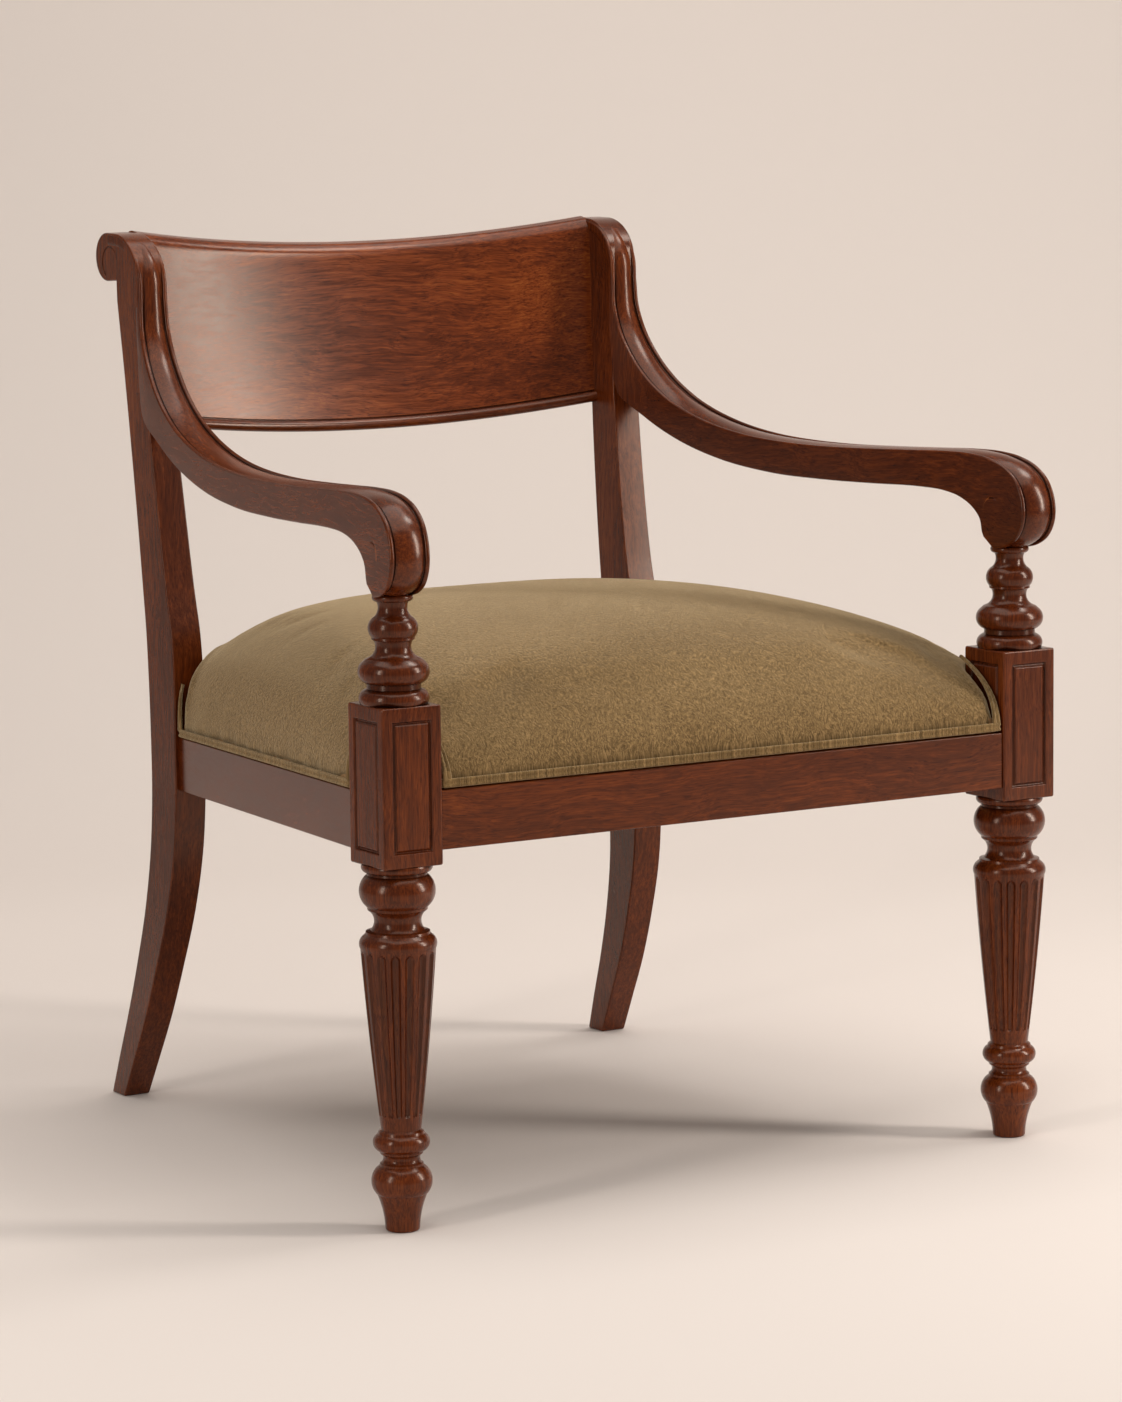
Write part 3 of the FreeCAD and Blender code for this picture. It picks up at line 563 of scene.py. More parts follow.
def fluting_tree():
    # presses round-ended flutes into a turned taper
    tree = bpy.data.node_groups.new("fluting", "GeometryNodeTree")
    face = tree.interface
    face.new_socket("Geometry", in_out="OUTPUT", socket_type="NodeSocketGeometry")
    face.new_socket("Geometry", in_out="INPUT", socket_type="NodeSocketGeometry")
    for name, kind in (("Flutes", "NodeSocketInt"), ("Share", "NodeSocketFloat"),
                       ("Depth", "NodeSocketFloat"), ("Lower end", "NodeSocketFloat"),
                       ("Upper end", "NodeSocketFloat"), ("Finish", "NodeSocketMaterial")):
        face.new_socket(name, in_out="INPUT", socket_type=kind)
    given = tree.nodes.new("NodeGroupInput").outputs
    place_node = add(tree, "GeometryNodeInputPosition")
    x, y, z = (add(tree, "ShaderNodeSeparateXYZ", {0: place_node}, axis) for axis in ("X", "Y", "Z"))
    xx = add(tree, MATH, {0: x, 1: x}, operation="MULTIPLY")
    yy = add(tree, MATH, {0: y, 1: y}, operation="MULTIPLY")
    square = add(tree, MATH, {0: xx, 1: yy}, operation="ADD")
    radius = add(tree, MATH, {0: square}, operation="SQRT")
    # how far a point lies from the middle line of its flute
    pitch = add(tree, MATH, {0: 2 * math.pi, 1: given["Flutes"]}, operation="DIVIDE")
    angle = add(tree, MATH, {0: y, 1: x}, operation="ARCTAN2")
    turns = add(tree, MATH, {0: angle, 1: pitch}, operation="DIVIDE")
    whole = add(tree, MATH, {0: turns}, operation="FLOOR")
    part = add(tree, MATH, {0: turns, 1: whole}, operation="SUBTRACT")
    off = add(tree, MATH, {0: part, 1: 0.5}, operation="SUBTRACT")
    off_angle = add(tree, MATH, {0: off, 1: pitch}, operation="MULTIPLY")
    across = add(tree, MATH, {0: off_angle, 1: radius}, operation="MULTIPLY")
    # half the flute's width, and how far a point lies past the ends
    shared = add(tree, MATH, {0: given["Share"], 1: pitch}, operation="MULTIPLY")
    half_radius = add(tree, MATH, {0: radius, 1: 0.5}, operation="MULTIPLY")
    half = add(tree, MATH, {0: shared, 1: half_radius}, operation="MULTIPLY")
    top = add(tree, MATH, {0: given["Upper end"], 1: half}, operation="SUBTRACT")
    past_top = add(tree, MATH, {0: z, 1: top}, operation="SUBTRACT")
    above = add(tree, MATH, {0: past_top, 1: 0.0}, operation="MAXIMUM")
    foot = add(tree, MATH, {0: given["Lower end"], 1: half}, operation="ADD")
    past_foot = add(tree, MATH, {0: foot, 1: z}, operation="SUBTRACT")
    below = add(tree, MATH, {0: past_foot, 1: 0.0}, operation="MAXIMUM")
    # round hollow: deepest in the middle, nothing at the rim
    across_2 = add(tree, MATH, {0: across, 1: across}, operation="MULTIPLY")
    above_2 = add(tree, MATH, {0: above, 1: above}, operation="MULTIPLY")
    below_2 = add(tree, MATH, {0: below, 1: below}, operation="MULTIPLY")
    ends = add(tree, MATH, {0: above_2, 1: below_2}, operation="ADD")
    far = add(tree, MATH, {0: across_2, 1: ends}, operation="ADD")
    half_2 = add(tree, MATH, {0: half, 1: half}, operation="MULTIPLY")
    share = add(tree, MATH, {0: far, 1: half_2}, operation="DIVIDE")
    left_over = add(tree, MATH, {0: 1.0, 1: share}, operation="SUBTRACT")
    inside = add(tree, MATH, {0: left_over, 1: 0.0}, operation="MAXIMUM")
    press = add(tree, MATH, {0: inside}, operation="SQRT")
    hollow = add(tree, MATH, {0: press, 1: half}, operation="MULTIPLY")
    depth = add(tree, MATH, {0: hollow, 1: given["Depth"]}, operation="MULTIPLY")
    safe_radius = add(tree, MATH, {0: radius, 1: 0.001}, operation="MAXIMUM")
    scale = add(tree, MATH, {0: depth, 1: safe_radius}, operation="DIVIDE")
    inward = add(tree, MATH, {0: scale, 1: -1.0}, operation="MULTIPLY")
    flat = add(tree, "ShaderNodeCombineXYZ", {0: x, 1: y})
    move = add(tree, VECTOR, {0: flat, 3: inward}, operation="SCALE")
    shaped = add(tree, "GeometryNodeSetPosition", {"Geometry": given["Geometry"], "Offset": move})
    real = add(tree, "GeometryNodeRealizeInstances", {0: shaped})
    done = add(tree, "GeometryNodeSetMaterial", {"Geometry": real, "Material": given["Finish"]})
    add(tree, "NodeGroupOutput", {0: done})
    return tree


def with_tree(made, tree, **values):
    # runs a node tree on the object and keeps the result as its mesh
    modifier = made.modifiers.new(tree.name, "NODES")
    modifier.node_group = tree
    sockets = {s.name: s.identifier for s in tree.interface.items_tree if s.in_out == "INPUT"}
    for name, value in values.items():
        modifier[sockets[name.replace("_", " ")]] = value
    return applied(made)


PANEL_SIDE = 9.0
PANEL_END = 11.5
PANEL_SLOPE = 1.3
PANEL_DEPTH = 2.0
PANEL_FLAT = 0.7
FIELD_SLOPE = 2.0
FIELD_DROP = 0.3


def block_mesh():
    # square block: each face has a sunk moulding round a raised field
    points, faces = [], []

    def rect(w, z0, z1, depth, reach, turn):
        start = len(points)
        for x, z in ((-w, z0), (w, z0), (w, z1), (-w, z1)):
            y = -(reach - depth)
            c, s = math.cos(turn), math.sin(turn)
            points.append((x * c - y * s, x * s + y * c, z))
        return [start + k for k in range(4)]

    for turn, half, reach in ((0, BLOCK_W / 2, BLOCK_D / 2), (math.pi / 2, BLOCK_D / 2, BLOCK_W / 2),
                              (math.pi, BLOCK_W / 2, BLOCK_D / 2), (-math.pi / 2, BLOCK_D / 2, BLOCK_W / 2)):
        w, a, b = half - PANEL_SIDE, BLOCK_Z0 + PANEL_END, BLOCK_Z1 - PANEL_END
        rings = [rect(half, BLOCK_Z0, BLOCK_Z1, 0.0, reach, turn)]
        inset = 0.0
        for grow, depth in ((0.0, 0.0), (PANEL_SLOPE, PANEL_DEPTH), (PANEL_FLAT, PANEL_DEPTH),
                           (FIELD_SLOPE, FIELD_DROP)):
            inset += grow
            rings.append(rect(w - inset, a + inset, b - inset, depth, reach, turn))
        for outer, inner in zip(rings, rings[1:]):
            for k in range(4):
                m = (k + 1) % 4
                faces.append((outer[k], outer[m], inner[m], inner[k]))
        faces.append(tuple(rings[-1]))
    for z in (BLOCK_Z0, BLOCK_Z1):
        start = len(points)
        w, d = BLOCK_W / 2, BLOCK_D / 2
        points += [(-w, -d, z), (w, -d, z), (w, d, z), (-w, d, z)]
        faces.append(tuple(range(start, start + 4)))
    mesh = raw_mesh("block", points, faces)
    outward(mesh, 0.00001)
    weights = mesh.attributes.new("bevel_weight_edge", "FLOAT", "EDGE")
    for edge in mesh.edges:
        middle = [sum(mesh.vertices[v].co[k] for v in edge.vertices) / 2 / MM for k in range(3)]
        sides = (abs(middle[0]) > BLOCK_W / 2 - 0.01) + (abs(middle[1]) > BLOCK_D / 2 - 0.01)
        ends = middle[2] < BLOCK_Z0 + 0.01 or middle[2] > BLOCK_Z1 - 0.01
        weights.data[edge.index].value = 1.0 if sides + ends > 1 else 0.2
    return mesh


FLUTING = fluting_tree()


def front_post_mesh():
    leg = place(raw_mesh("leg", *turned(LEG_PATH, FLUTES * FLUTE_COLUMNS)), "leg")
    with_tree(leg, FLUTING, Flutes=FLUTES, Share=FLUTE_SHARE, Depth=0.8,
              Lower_end=FLUTE_Z0 * MM, Upper_end=FLUTE_Z1 * MM, Finish=MAHOGANY)
    block = rounded(place(block_mesh(), "block"), 1.6, 3, method="WEIGHT")
    column = place(raw_mesh("column", *turned(COLUMN_PATH, 96)), "column")
    work = bmesh.new()
    for part in (leg, block, column):
        work.from_mesh(part.data)
        bpy.data.objects.remove(part)
    mesh = bpy.data.meshes.new("front_post")
    work.to_mesh(mesh)
    work.free()
    mesh.transform(Matrix.Translation((-POST_X * MM, POST_Y * MM, 0)))
    return mesh


both_sides(front_post_mesh, "turned_post", ["front_post_{}"], MAHOGANY, grain_z, 1)


# Rear stiles: sabre leg, raked upright, scrolled crest

STILE_STATIONS = [
    (0.0, 590.0, 616.0, 262.0, 26.0),
    (35.0, 571.5, 602.5, 260.3, 27.0),
    (80.0, 548.0, 584.5, 258.2, 28.0),
    (130.0, 527.3, 567.5, 255.6, 29.0),
    (185.0, 508.8, 553.5, 252.0, 30.0),
    (240.0, 499.0, 547.3, 248.2, 30.6),
    (290.0, STILE_FRONT, 546.5, 245.8, STILE_T),
    (345.0, STILE_FRONT, 547.0, STILE_X, STILE_T),
    (395.0, STILE_FRONT - 0.6, 549.0, STILE_X, STILE_T - 0.4),
    (440.0, 500.0, 552.5, STILE_X, 30.0),
    (480.0, 509.0, 557.5, 245.6, 29.4),
    (540.0, 519.5, 564.5, 246.3, 28.6),
    (600.0, 528.5, 571.0, 247.6, 28.0),
    (670.0, 537.5, 578.0, 249.8, 27.2),
    (740.0, 541.0, 584.6, 252.6, 27.0),
]

CREST_FRONT = [(541.0, 740.0), (542.2, 765.0), (547.0, 779.0), (559.0, 792.0), (577.0, 800.0), (603.0, 801.7)]
VOLUTE = (603.0, 779.7)
VOLUTE_R = 22.0


def stile_mesh():
    rows = smooth_rows(STILE_STATIONS, 6)
    front = [(r[1], r[0], r[3], r[4]) for r in rows]
    rear = [(r[2], r[0], r[3], r[4]) for r in rows]
    crest = smooth_rows(CREST_FRONT, 6)[1:]
    y0, z0 = VOLUTE
    around = arc_points((y0, z0 + VOLUTE_R), (y0 + VOLUTE_R + 1.5, z0), (y0, z0 - VOLUTE_R), 24)
    notch = [(585.2, z0 - VOLUTE_R + 1.0)]
    x, t = rows[-1][3], rows[-1][4]
    loop = [(p[0], p[1], x, t) for p in list(crest) + around + notch]
    points = []
    for ring, sign in ((front + loop + rear[::-1], -1), (front + loop + rear[::-1], 1)):
        points += [(-px + sign * pt / 2, at(b), z) for b, z, px, pt in ring]
    n = len(front)
    total = 2 * n + len(loop)
    faces = []
    for side in (0, total):
        for i in range(n - 1):
            j = total - 1 - i
            faces.append((side + i, side + i + 1, side + j - 1, side + j))
        faces.append(tuple(side + k for k in range(n - 1, total - n + 1)))
    for k in range(total):
        m = (k + 1) % total
        faces.append((k, m, total + m, total + k))
    body = rounded(place(raw_mesh("stile", points, faces), "stile"), 1.5, 3)
    carved(body, groove_ring("stile_groove", -x - t / 2, (597.0, 774.5), 14.6, 1.25, -52.0, 165.0))
    mesh = body.data.copy()
    bpy.data.objects.remove(body)
    return mesh


def groove_ring(name, x, centre, radius, tube, start, end):
    # part of a ring that lies in a side face and thins out towards its end
    steps, sides = 40, 10
    points = []
    for i in range(steps + 1):
        k = i / steps
        a = math.radians(start + (end - start) * k)
        r = tube * (1.0 - 0.75 * k ** 2)
        for j in range(sides):
            b = 2 * math.pi * j / sides
            reach = radius + r * math.cos(b)
            points.append((x + r * math.sin(b), at(centre[0] + reach * math.cos(a)),
                           centre[1] + reach * math.sin(a)))
    return place(raw_mesh(name, points, loft_faces(steps + 1, sides)), name)


both_sides(stile_mesh, "rear_stile", ["rear_stile_{}"], MAHOGANY, grain_z, 3)


# Arms: moulded facing, sweep, level arm and front scroll

ARM_STATIONS = [
    (600.0, 798.8, 599.0, 790.6),
    (578.0, 796.6, 580.0, 788.6),
    (560.6, 789.6, 566.2, 783.2),
    (548.6, 778.0, 556.0, 773.6),
    (542.2, 765.0, 549.8, 764.0),
    (540.2, 742.0, 547.6, 742.0),
    (537.8, 718.0, 546.0, 722.0),
    (527.0, 693.0, 544.0, 704.0),
    (507.0, 668.5, 541.0, 686.0),
    (484.0, 649.8, 537.5, 664.0),
    (460.0, 636.0, 530.0, 638.5),
    (430.0, 623.8, 490.0, 616.6),
    (395.0, 614.2, 440.0, 597.0),
    (350.0, 606.4, 375.0, 581.4),
    (300.0, 602.2, 305.0, 573.6),
    (230.0, 600.8, 230.0, 571.8),
    (160.0, 602.5, 160.0, 572.6),
    (100.0, 604.8, 100.0, 573.9),
    (60.0, 606.2, 66.0, 572.6),
    (30.0, 605.8, 46.0, 568.8),
    (6.0, 602.6, 33.0, 563.6),
    (-14.0, 595.6, 25.0, 558.4),
    (-28.0, 584.4, 20.0, 553.6),
    (-35.6, 568.0, 17.5, 549.6),
    (-35.4, 551.0, 16.4, 546.0),
    (-28.0, 538.0, 15.8, 542.8),
    (-15.0, 530.2, 15.0, 539.8),
    (0.0, 527.0, 13.5, 537.0),
]
BEAD_W = 4.2
BEAD_R = 2.0
QUIRK_W = 1.6
QUIRK_R = 1.0
CROWN_R = 3.0
LOWER_ROUND = 2.2


def arm_centre(back):
    level = min(back, ARM_REAR_BACK)
    return POST_X - (POST_X - ARM_REAR_X) * level / ARM_REAR_BACK + max(back - ARM_REAR_BACK, 0.0) * 0.03


def arm_face(half):
    # moulded upper face: (across, lift) points from the left edge to the right edge
    edge = [(-half, 0.0)]
    edge += arc_points(edge[-1], (-half + BEAD_W / 2, BEAD_R), (-half + BEAD_W, 0.0), 8)
    q = -half + BEAD_W + QUIRK_W
    edge += arc_points(edge[-1], (q - QUIRK_W / 2, -QUIRK_R), (q, 0.0), 5)
    half_face = edge + arc_points(edge[-1], (0.0, CROWN_R), (-q, 0.0), 16)[:8]
    return half_face + [(-a, b) for a, b in reversed(half_face[:-1])]


def arm_mesh():
    rows = smooth_rows(ARM_STATIONS, 6)
    points, columns = [], 0
    for i, (yo, zo, yi, zi) in enumerate(rows):
        j, k = max(i - 1, 0), min(i + 1, len(rows) - 1)
        ny, nz = -(rows[k][1] - rows[j][1]), rows[k][0] - rows[j][0]
        if ny * (yo - yi) + nz * (zo - zi) < 0:
            ny, nz = -ny, -nz
        size = math.hypot(ny, nz)
        ny, nz = ny / size, nz / size
        rise = min(max((zo - 618.0) / 127.0, 0.0), 1.0) if yo > 300 else 0.0
        half = ARM_HALF + (ARM_HALF_TOP - ARM_HALF) * rise
        xo, xi = -arm_centre(yo), -arm_centre(yi)
        ring = [(xo + a, at(yo + ny * b), zo + nz * b) for a, b in arm_face(half)]
        uy, uz = yo - yi, zo - zi
        deep = math.hypot(uy, uz)
        uy, uz = uy / deep, uz / deep
        r = LOWER_ROUND
        low = [(half, 0.5 * deep), (half, r), (half - 0.3 * r, 0.3 * r), (half - r, 0.0),
               (0.0, 0.0), (-half + r, 0.0), (-half + 0.3 * r, 0.3 * r), (-half, r), (-half, 0.5 * deep)]
        for a, up in low:
            share = up / deep
            ring.append((xi + (xo - xi) * share + a, at(yi + uy * up), zi + uz * up))
        columns = len(ring)
        points += ring
    body = place(raw_mesh("arm", points, loft_faces(len(rows), columns)), "arm")
    for face in (ARM_HALF, -ARM_HALF):
        carved(body, groove_ring("eye", -arm_centre(0.0) + face, (1.5, 559.5), 10.8, 0.85, 200.0, -25.0))
    mesh = body.data.copy()
    bpy.data.objects.remove(body)
    return mesh


def grain_arm(co):
    # grain runs along the level arm and up the sweep
    y = co[:, 1] / MM - POST_Y
    z = co[:, 2] / MM
    along = y + np.maximum(z - 640.0, 0.0) - np.maximum(590.0 - z, 0.0) * (y < 40.0)
    across = np.where(y < 480.0, z, 640.0 - (y - 480.0))
    return np.stack([along * MM, across * MM, co[:, 0]], axis=1)


both_sides(arm_mesh, "scrolled_arm", ["arm_{}"], MAHOGANY, grain_arm, 5, 36.0)


# Back board and its bead

def swept_profile(profile, half, steps, name):
    # profile of (back, z) points carried along the bow and the dip of the board
    points = []
    for i in range(steps + 1):
        x = -half + 2 * half * i / steps
        s = 1 - (x / BOARD_SPAN) ** 2
        points += [(x, at(b) + BOARD_BOW * s, z - BOARD_DIP * s) for b, z in profile]
    return raw_mesh(name, points, loft_faces(steps + 1, len(profile)))


def board_profile():
    z1 = BOARD_Z0 + BEAD_H + 1.2
    points = [(571.0, BOARD_Z0), (571.0, z1), (568.9, z1), (568.4, z1 + 0.5)]
    points += arc_points(points[-1], (577.4, 704.0), (582.2, 788.0), 24)
    points += arc_points(points[-1], (585.6, 796.8), (596.0, 801.4), 10)
    points += arc_points(points[-1], (615.6, 797.0), (621.6, 783.0), 12)
    points += arc_points(points[-1], (616.6, 771.4), (606.0, 769.0), 8)
    points += arc_points(points[-1], (600.4, 765.6), (598.4, 757.0), 6)
    points += arc_points(points[-1], (595.0, 690.0), (584.0, BOARD_Z0 + 1.0), 20)
    points += arc_points(points[-1], (583.6, BOARD_Z0 + 0.3), (583.0, BOARD_Z0), 2)
    return points


def bead_profile():
    z0, z1 = BOARD_Z0, BOARD_Z0 + BEAD_H
    points = [(571.0, z0), (567.4, z0)]
    return points + arc_points(points[-1], (562.8, z0 + BEAD_H / 2), (567.4, z1), 14) + [(571.0, z1)]


board = place(swept_profile(board_profile(), BOARD_HALF, 64, "bowed_back_board"), "bowed_back_board")
grained(board, grain_x, 7)
finish_piece(board, SHOW_WOOD, ["back_board"])

bead = place(swept_profile(bead_profile(), BOARD_HALF, 64, "back_board_edge_bead"), "back_board_edge_bead")
grained(bead, grain_x, 8)
finish_piece(bead, MAHOGANY, ["back_board_bead"])


# Seat rails

def prism_mesh(name, outline, low, high):
    # upright walls over a plan outline; low and high give heights from a back distance
    n = len(outline)
    points = [(x, at(b), low(b)) for x, b in outline] + [(x, at(b), high(b)) for x, b in outline]
    faces = [tuple(reversed(range(n))), tuple(range(n, 2 * n))]
    faces += [(k, (k + 1) % n, n + (k + 1) % n, n + k) for k in range(n)]
    return raw_mesh(name, points, faces)


def rail_piece(name, outline, low, high, node, direction, seed):
    made = rounded(place(prism_mesh(name, outline, low, high), name), 1.1, 3)
    grained(made, direction, seed)
    return finish_piece(made, MAHOGANY, [node])


half_front = POST_X - BLOCK_W / 2
rail_piece("front_seat_rail",
           [(-half_front, FRONT_OUT), (half_front, FRONT_OUT),
            (half_front, FRONT_IN), (-half_front, FRONT_IN)],
           lambda b: RAIL_TOP - RAIL_H, lambda b: RAIL_TOP, "front_rail", grain_x, 9)

half_rear = STILE_X - STILE_T / 2 + 1.0
rear_top = seat_plane(REAR_RAIL_BACK + REAR_RAIL_T)
rail_piece("rear_seat_rail",
           [(-half_rear, REAR_RAIL_BACK), (half_rear, REAR_RAIL_BACK),
            (half_rear, REAR_RAIL_BACK + REAR_RAIL_T), (-half_rear, REAR_RAIL_BACK + REAR_RAIL_T)],
           lambda b: rear_top - RAIL_H, lambda b: rear_top, "rear_rail", grain_x, 10)

for side, sign in (("left", -1), ("right", 1)):
    b0, b1 = BLOCK_D / 2 - 0.5, STILE_FRONT + 1.0
    outer0, outer1 = side_rail_outer(b0), side_rail_outer(b1)
    rail_piece(side + "_seat_rail",
               [(sign * outer0, b0), (sign * (outer0 - SIDE_RAIL_T), b0),
                (sign * (outer1 - SIDE_RAIL_T), b1), (sign * outer1, b1)],
               lambda b: seat_plane(b) - RAIL_H, seat_plane, "side_rail_" + side, grain_y, 11 + sign)


# Seat cover: domed mohair over stuffing, notched round the posts and stiles

SEAT_FRONT = FRONT_OUT + 1.0
SEAT_REAR = REAR_RAIL_BACK + REAR_RAIL_T - 1.0
NOTCH_X = POST_X - BLOCK_W / 2 - SEAT_GAP
NOTCH_BACK = BLOCK_D / 2 + SEAT_GAP
HEEL_BACK = STILE_FRONT - SEAT_GAP
HEEL_X = STILE_X - STILE_T / 2 - SEAT_GAP
SEAT_MID = (SEAT_FRONT + SEAT_REAR) / 2
SEAT_REACH = (SEAT_REAR - SEAT_FRONT) / 2


def front_share(v):
    if v < DOME_CROWN:
        s, n, m = (v - DOME_CROWN) / (1 + DOME_CROWN), FRONT_N, FRONT_M
    else:
        s, n, m = (v - DOME_CROWN) / (1 - DOME_CROWN), REAR_N, REAR_M
    return max(1 - abs(s) ** n, 0.0) ** (1 / m)


def side_share(u):
    return max(1 - abs(u) ** SIDE_N, 0.0) ** (1 / SIDE_M)


def seat_half(back):
    return side_rail_outer(back) - 0.5


def spread(t, power):
    return math.copysign(1 - (1 - abs(t)) ** power, t)


def dome_mesh(inset, rows=72):
    points = []
    for i in range(rows + 1):
        u = spread(2.0 * i / rows - 1, SIDE_M * 0.8)
        for j in range(rows + 1):
            s = 2.0 * j / rows - 1
            if s < 0:
                v = DOME_CROWN + (1 + DOME_CROWN) * spread(s, FRONT_M)
            else:
                v = DOME_CROWN + (1 - DOME_CROWN) * spread(s, REAR_M * 0.7)
            back = SEAT_MID + (SEAT_REACH - 0.6) * v
            x = (seat_half(back) - 0.6) * u
            rise = (DOME_H - inset) * side_share(u) * front_share(v)
            points.append((x, at(back), seat_plane(back) + 0.5 + rise))
    n = rows + 1
    faces = [(i * n + j, i * n + j + 1, (i + 1) * n + j + 1, (i + 1) * n + j)
             for i in range(rows) for j in range(rows)]
    rim = [i * n for i in range(n)] + [rows * n + j for j in range(1, n)]
    rim += [i * n + rows for i in range(rows - 1, -1, -1)] + [j for j in range(rows - 1, 0, -1)]
    faces.append(tuple(rim))
    mesh = raw_mesh("dome", points, faces)
    outward(mesh, 0.00002)
    return mesh


def box_mesh(name, x0, x1, b0, b1, z0, z1):
    outline = [(x0, b0), (x1, b0), (x1, b1), (x0, b1)]
    return prism_mesh(name, outline, lambda b: z0, lambda b: z1)


def seat_cover():
    swell = 3.0
    cover = place(dome_mesh(swell), "domed_mohair_cover")
    for sign in (-1, 1):
        for x, b0, b1 in ((NOTCH_X - 0.8, SEAT_FRONT - 60.0, NOTCH_BACK + 0.8),
                          (HEEL_X - 0.8, HEEL_BACK - 0.8, SEAT_REAR + 60.0)):
            x0, x1 = sorted((sign * x, sign * 460.0))
            carved(cover, place(box_mesh("notch", x0, x1, b0, b1, 250.0, 600.0), "notch"))
    remesh = cover.modifiers.new("remesh", "REMESH")
    remesh.mode = "VOXEL"
    remesh.voxel_size = 6.4 * MM
    relax = cover.modifiers.new("relax", "SMOOTH")
    relax.factor = 0.5
    relax.iterations = 6
    applied(cover)
    inflate(cover, 4.2)
    soften = cover.modifiers.new("soften", "SMOOTH")
    soften.factor = 0.5
    soften.iterations = 3
    finer = cover.modifiers.new("finer", "SUBSURF")
    finer.levels = 1
    finer.render_levels = 1
    applied(cover)
    lay_nap(cover)
    finish_piece(cover, MOHAIR, ["seat_cover", "seat_stuffing"], 80.0)
    return cover


def inflate(cover, cap):
    # air pressure rounds the pad; its base stays put and no point moves further than cap
    start = coords(cover.data)
    pins = cover.vertex_groups.new(name="tacked_edge")
    low = [i for i, p in enumerate(start) if p[2] / MM < seat_plane(p[1] / MM - POST_Y) + 5.0]
    pins.add(low, 1.0, "REPLACE")
    cloth = cover.modifiers.new("stuffing", "CLOTH")
    cloth.settings.use_pressure = True
    cloth.settings.uniform_pressure_force = 4.0
    cloth.settings.effector_weights.gravity = 0.0
    cloth.settings.vertex_group_mass = "tacked_edge"
    cloth.point_cache.frame_start = 1
    cloth.point_cache.frame_end = 20
    for step in range(1, 21):
        bpy.context.scene.frame_set(step)
    applied(cover)
    bpy.context.scene.frame_set(1)
    end = coords(cover.data)
    move = end - start
    size = np.maximum(np.linalg.norm(move, axis=1), 1e-9)
    x, back = np.abs(start[:, 0]) / MM, start[:, 1] / MM - POST_Y
    rise = start[:, 2] / MM - np.array([seat_plane(b) for b in back])
    free = np.clip(rise / 45.0, 0.0, 1.0) ** 1.5
    beside_post = (x > NOTCH_X - 12.0) & (back < NOTCH_BACK + 12.0)
    beside_stile = (x > HEEL_X - 12.0) & (back > HEEL_BACK - 12.0)
    limit = np.where(beside_post | beside_stile, 0.6, 0.6 + (cap - 0.6) * free)
    end = start + move * np.minimum(1.0, limit * MM / size)[:, None]
    cover.data.vertices.foreach_set("co", end.astype(np.float32).ravel())
    cover.data.update()


def coords(mesh):
    out = np.zeros(len(mesh.vertices) * 3, np.float32)
    mesh.vertices.foreach_get("co", out)
    return out.reshape(-1, 3).astype(float)


def lay_nap(made):
    # unrolls the dome so that the pile's strokes follow the cloth over its edges
    out = []
    for x, y, z in coords(made.data) / MM:
        back = y - POST_Y
        v = min(max((back - SEAT_MID) / SEAT_REACH, -1.0), 1.0)
        u = min(max(x / seat_half(back), -1.0), 1.0)
        a, b = side_share(u), front_share(v)
        fall = DOME_H * (1 - a * b)
        total = (1 - a) + (1 - b) + 1e-6
        sideways = fall * (1 - a) / total
        forward = fall * (1 - b) / total
        out.append(((x + math.copysign(sideways, x)) * MM,
                    (back + math.copysign(forward, v - DOME_CROWN)) * MM, 0.0))
    store = made.data.attributes.new("nap", "FLOAT_VECTOR", "POINT")
    store.data.foreach_set("vector", np.array(out, np.float32).ravel())


COVER = seat_cover()


# Welts: a flat double band along the rails, and tapered strips up the corners

def band_ring(width, thick):
    # (across, out) points of a band with a cord along each edge
    r = thick / 2
    w = width / 2 - r
    ring = [(-w, -r)]
    ring += arc_points(ring[-1], (-w - r, 0.0), (-w, r), 6)
    ring += [(-w + r, r * 0.45), (0.0, r * 0.35), (w - r, r * 0.45), (w, r)]
    ring += arc_points(ring[-1], (w + r, 0.0), (w, -r), 6)
    return ring


def strip_mesh(name, path, outs, widths, thick):
    # carries the band along path; outs point away from the cloth
    path, outs = np.array(path, float), np.array(outs, float)
    tangents = np.gradient(path, axis=0)
    points, columns = [], 0
    for p, o, t, w in zip(path, outs, tangents, widths):
        side = np.cross(o, t)
        side /= np.linalg.norm(side)
        ring = band_ring(w, thick)
        columns = len(ring)
        points += [tuple(p + side * a + o * b) for a, b in ring]
    return raw_mesh(name, points, loft_faces(len(path), columns))


def run_points(start, end, steps):
    return [tuple(np.array(start) + (np.array(end) - np.array(start)) * i / steps) for i in range(steps + 1)]


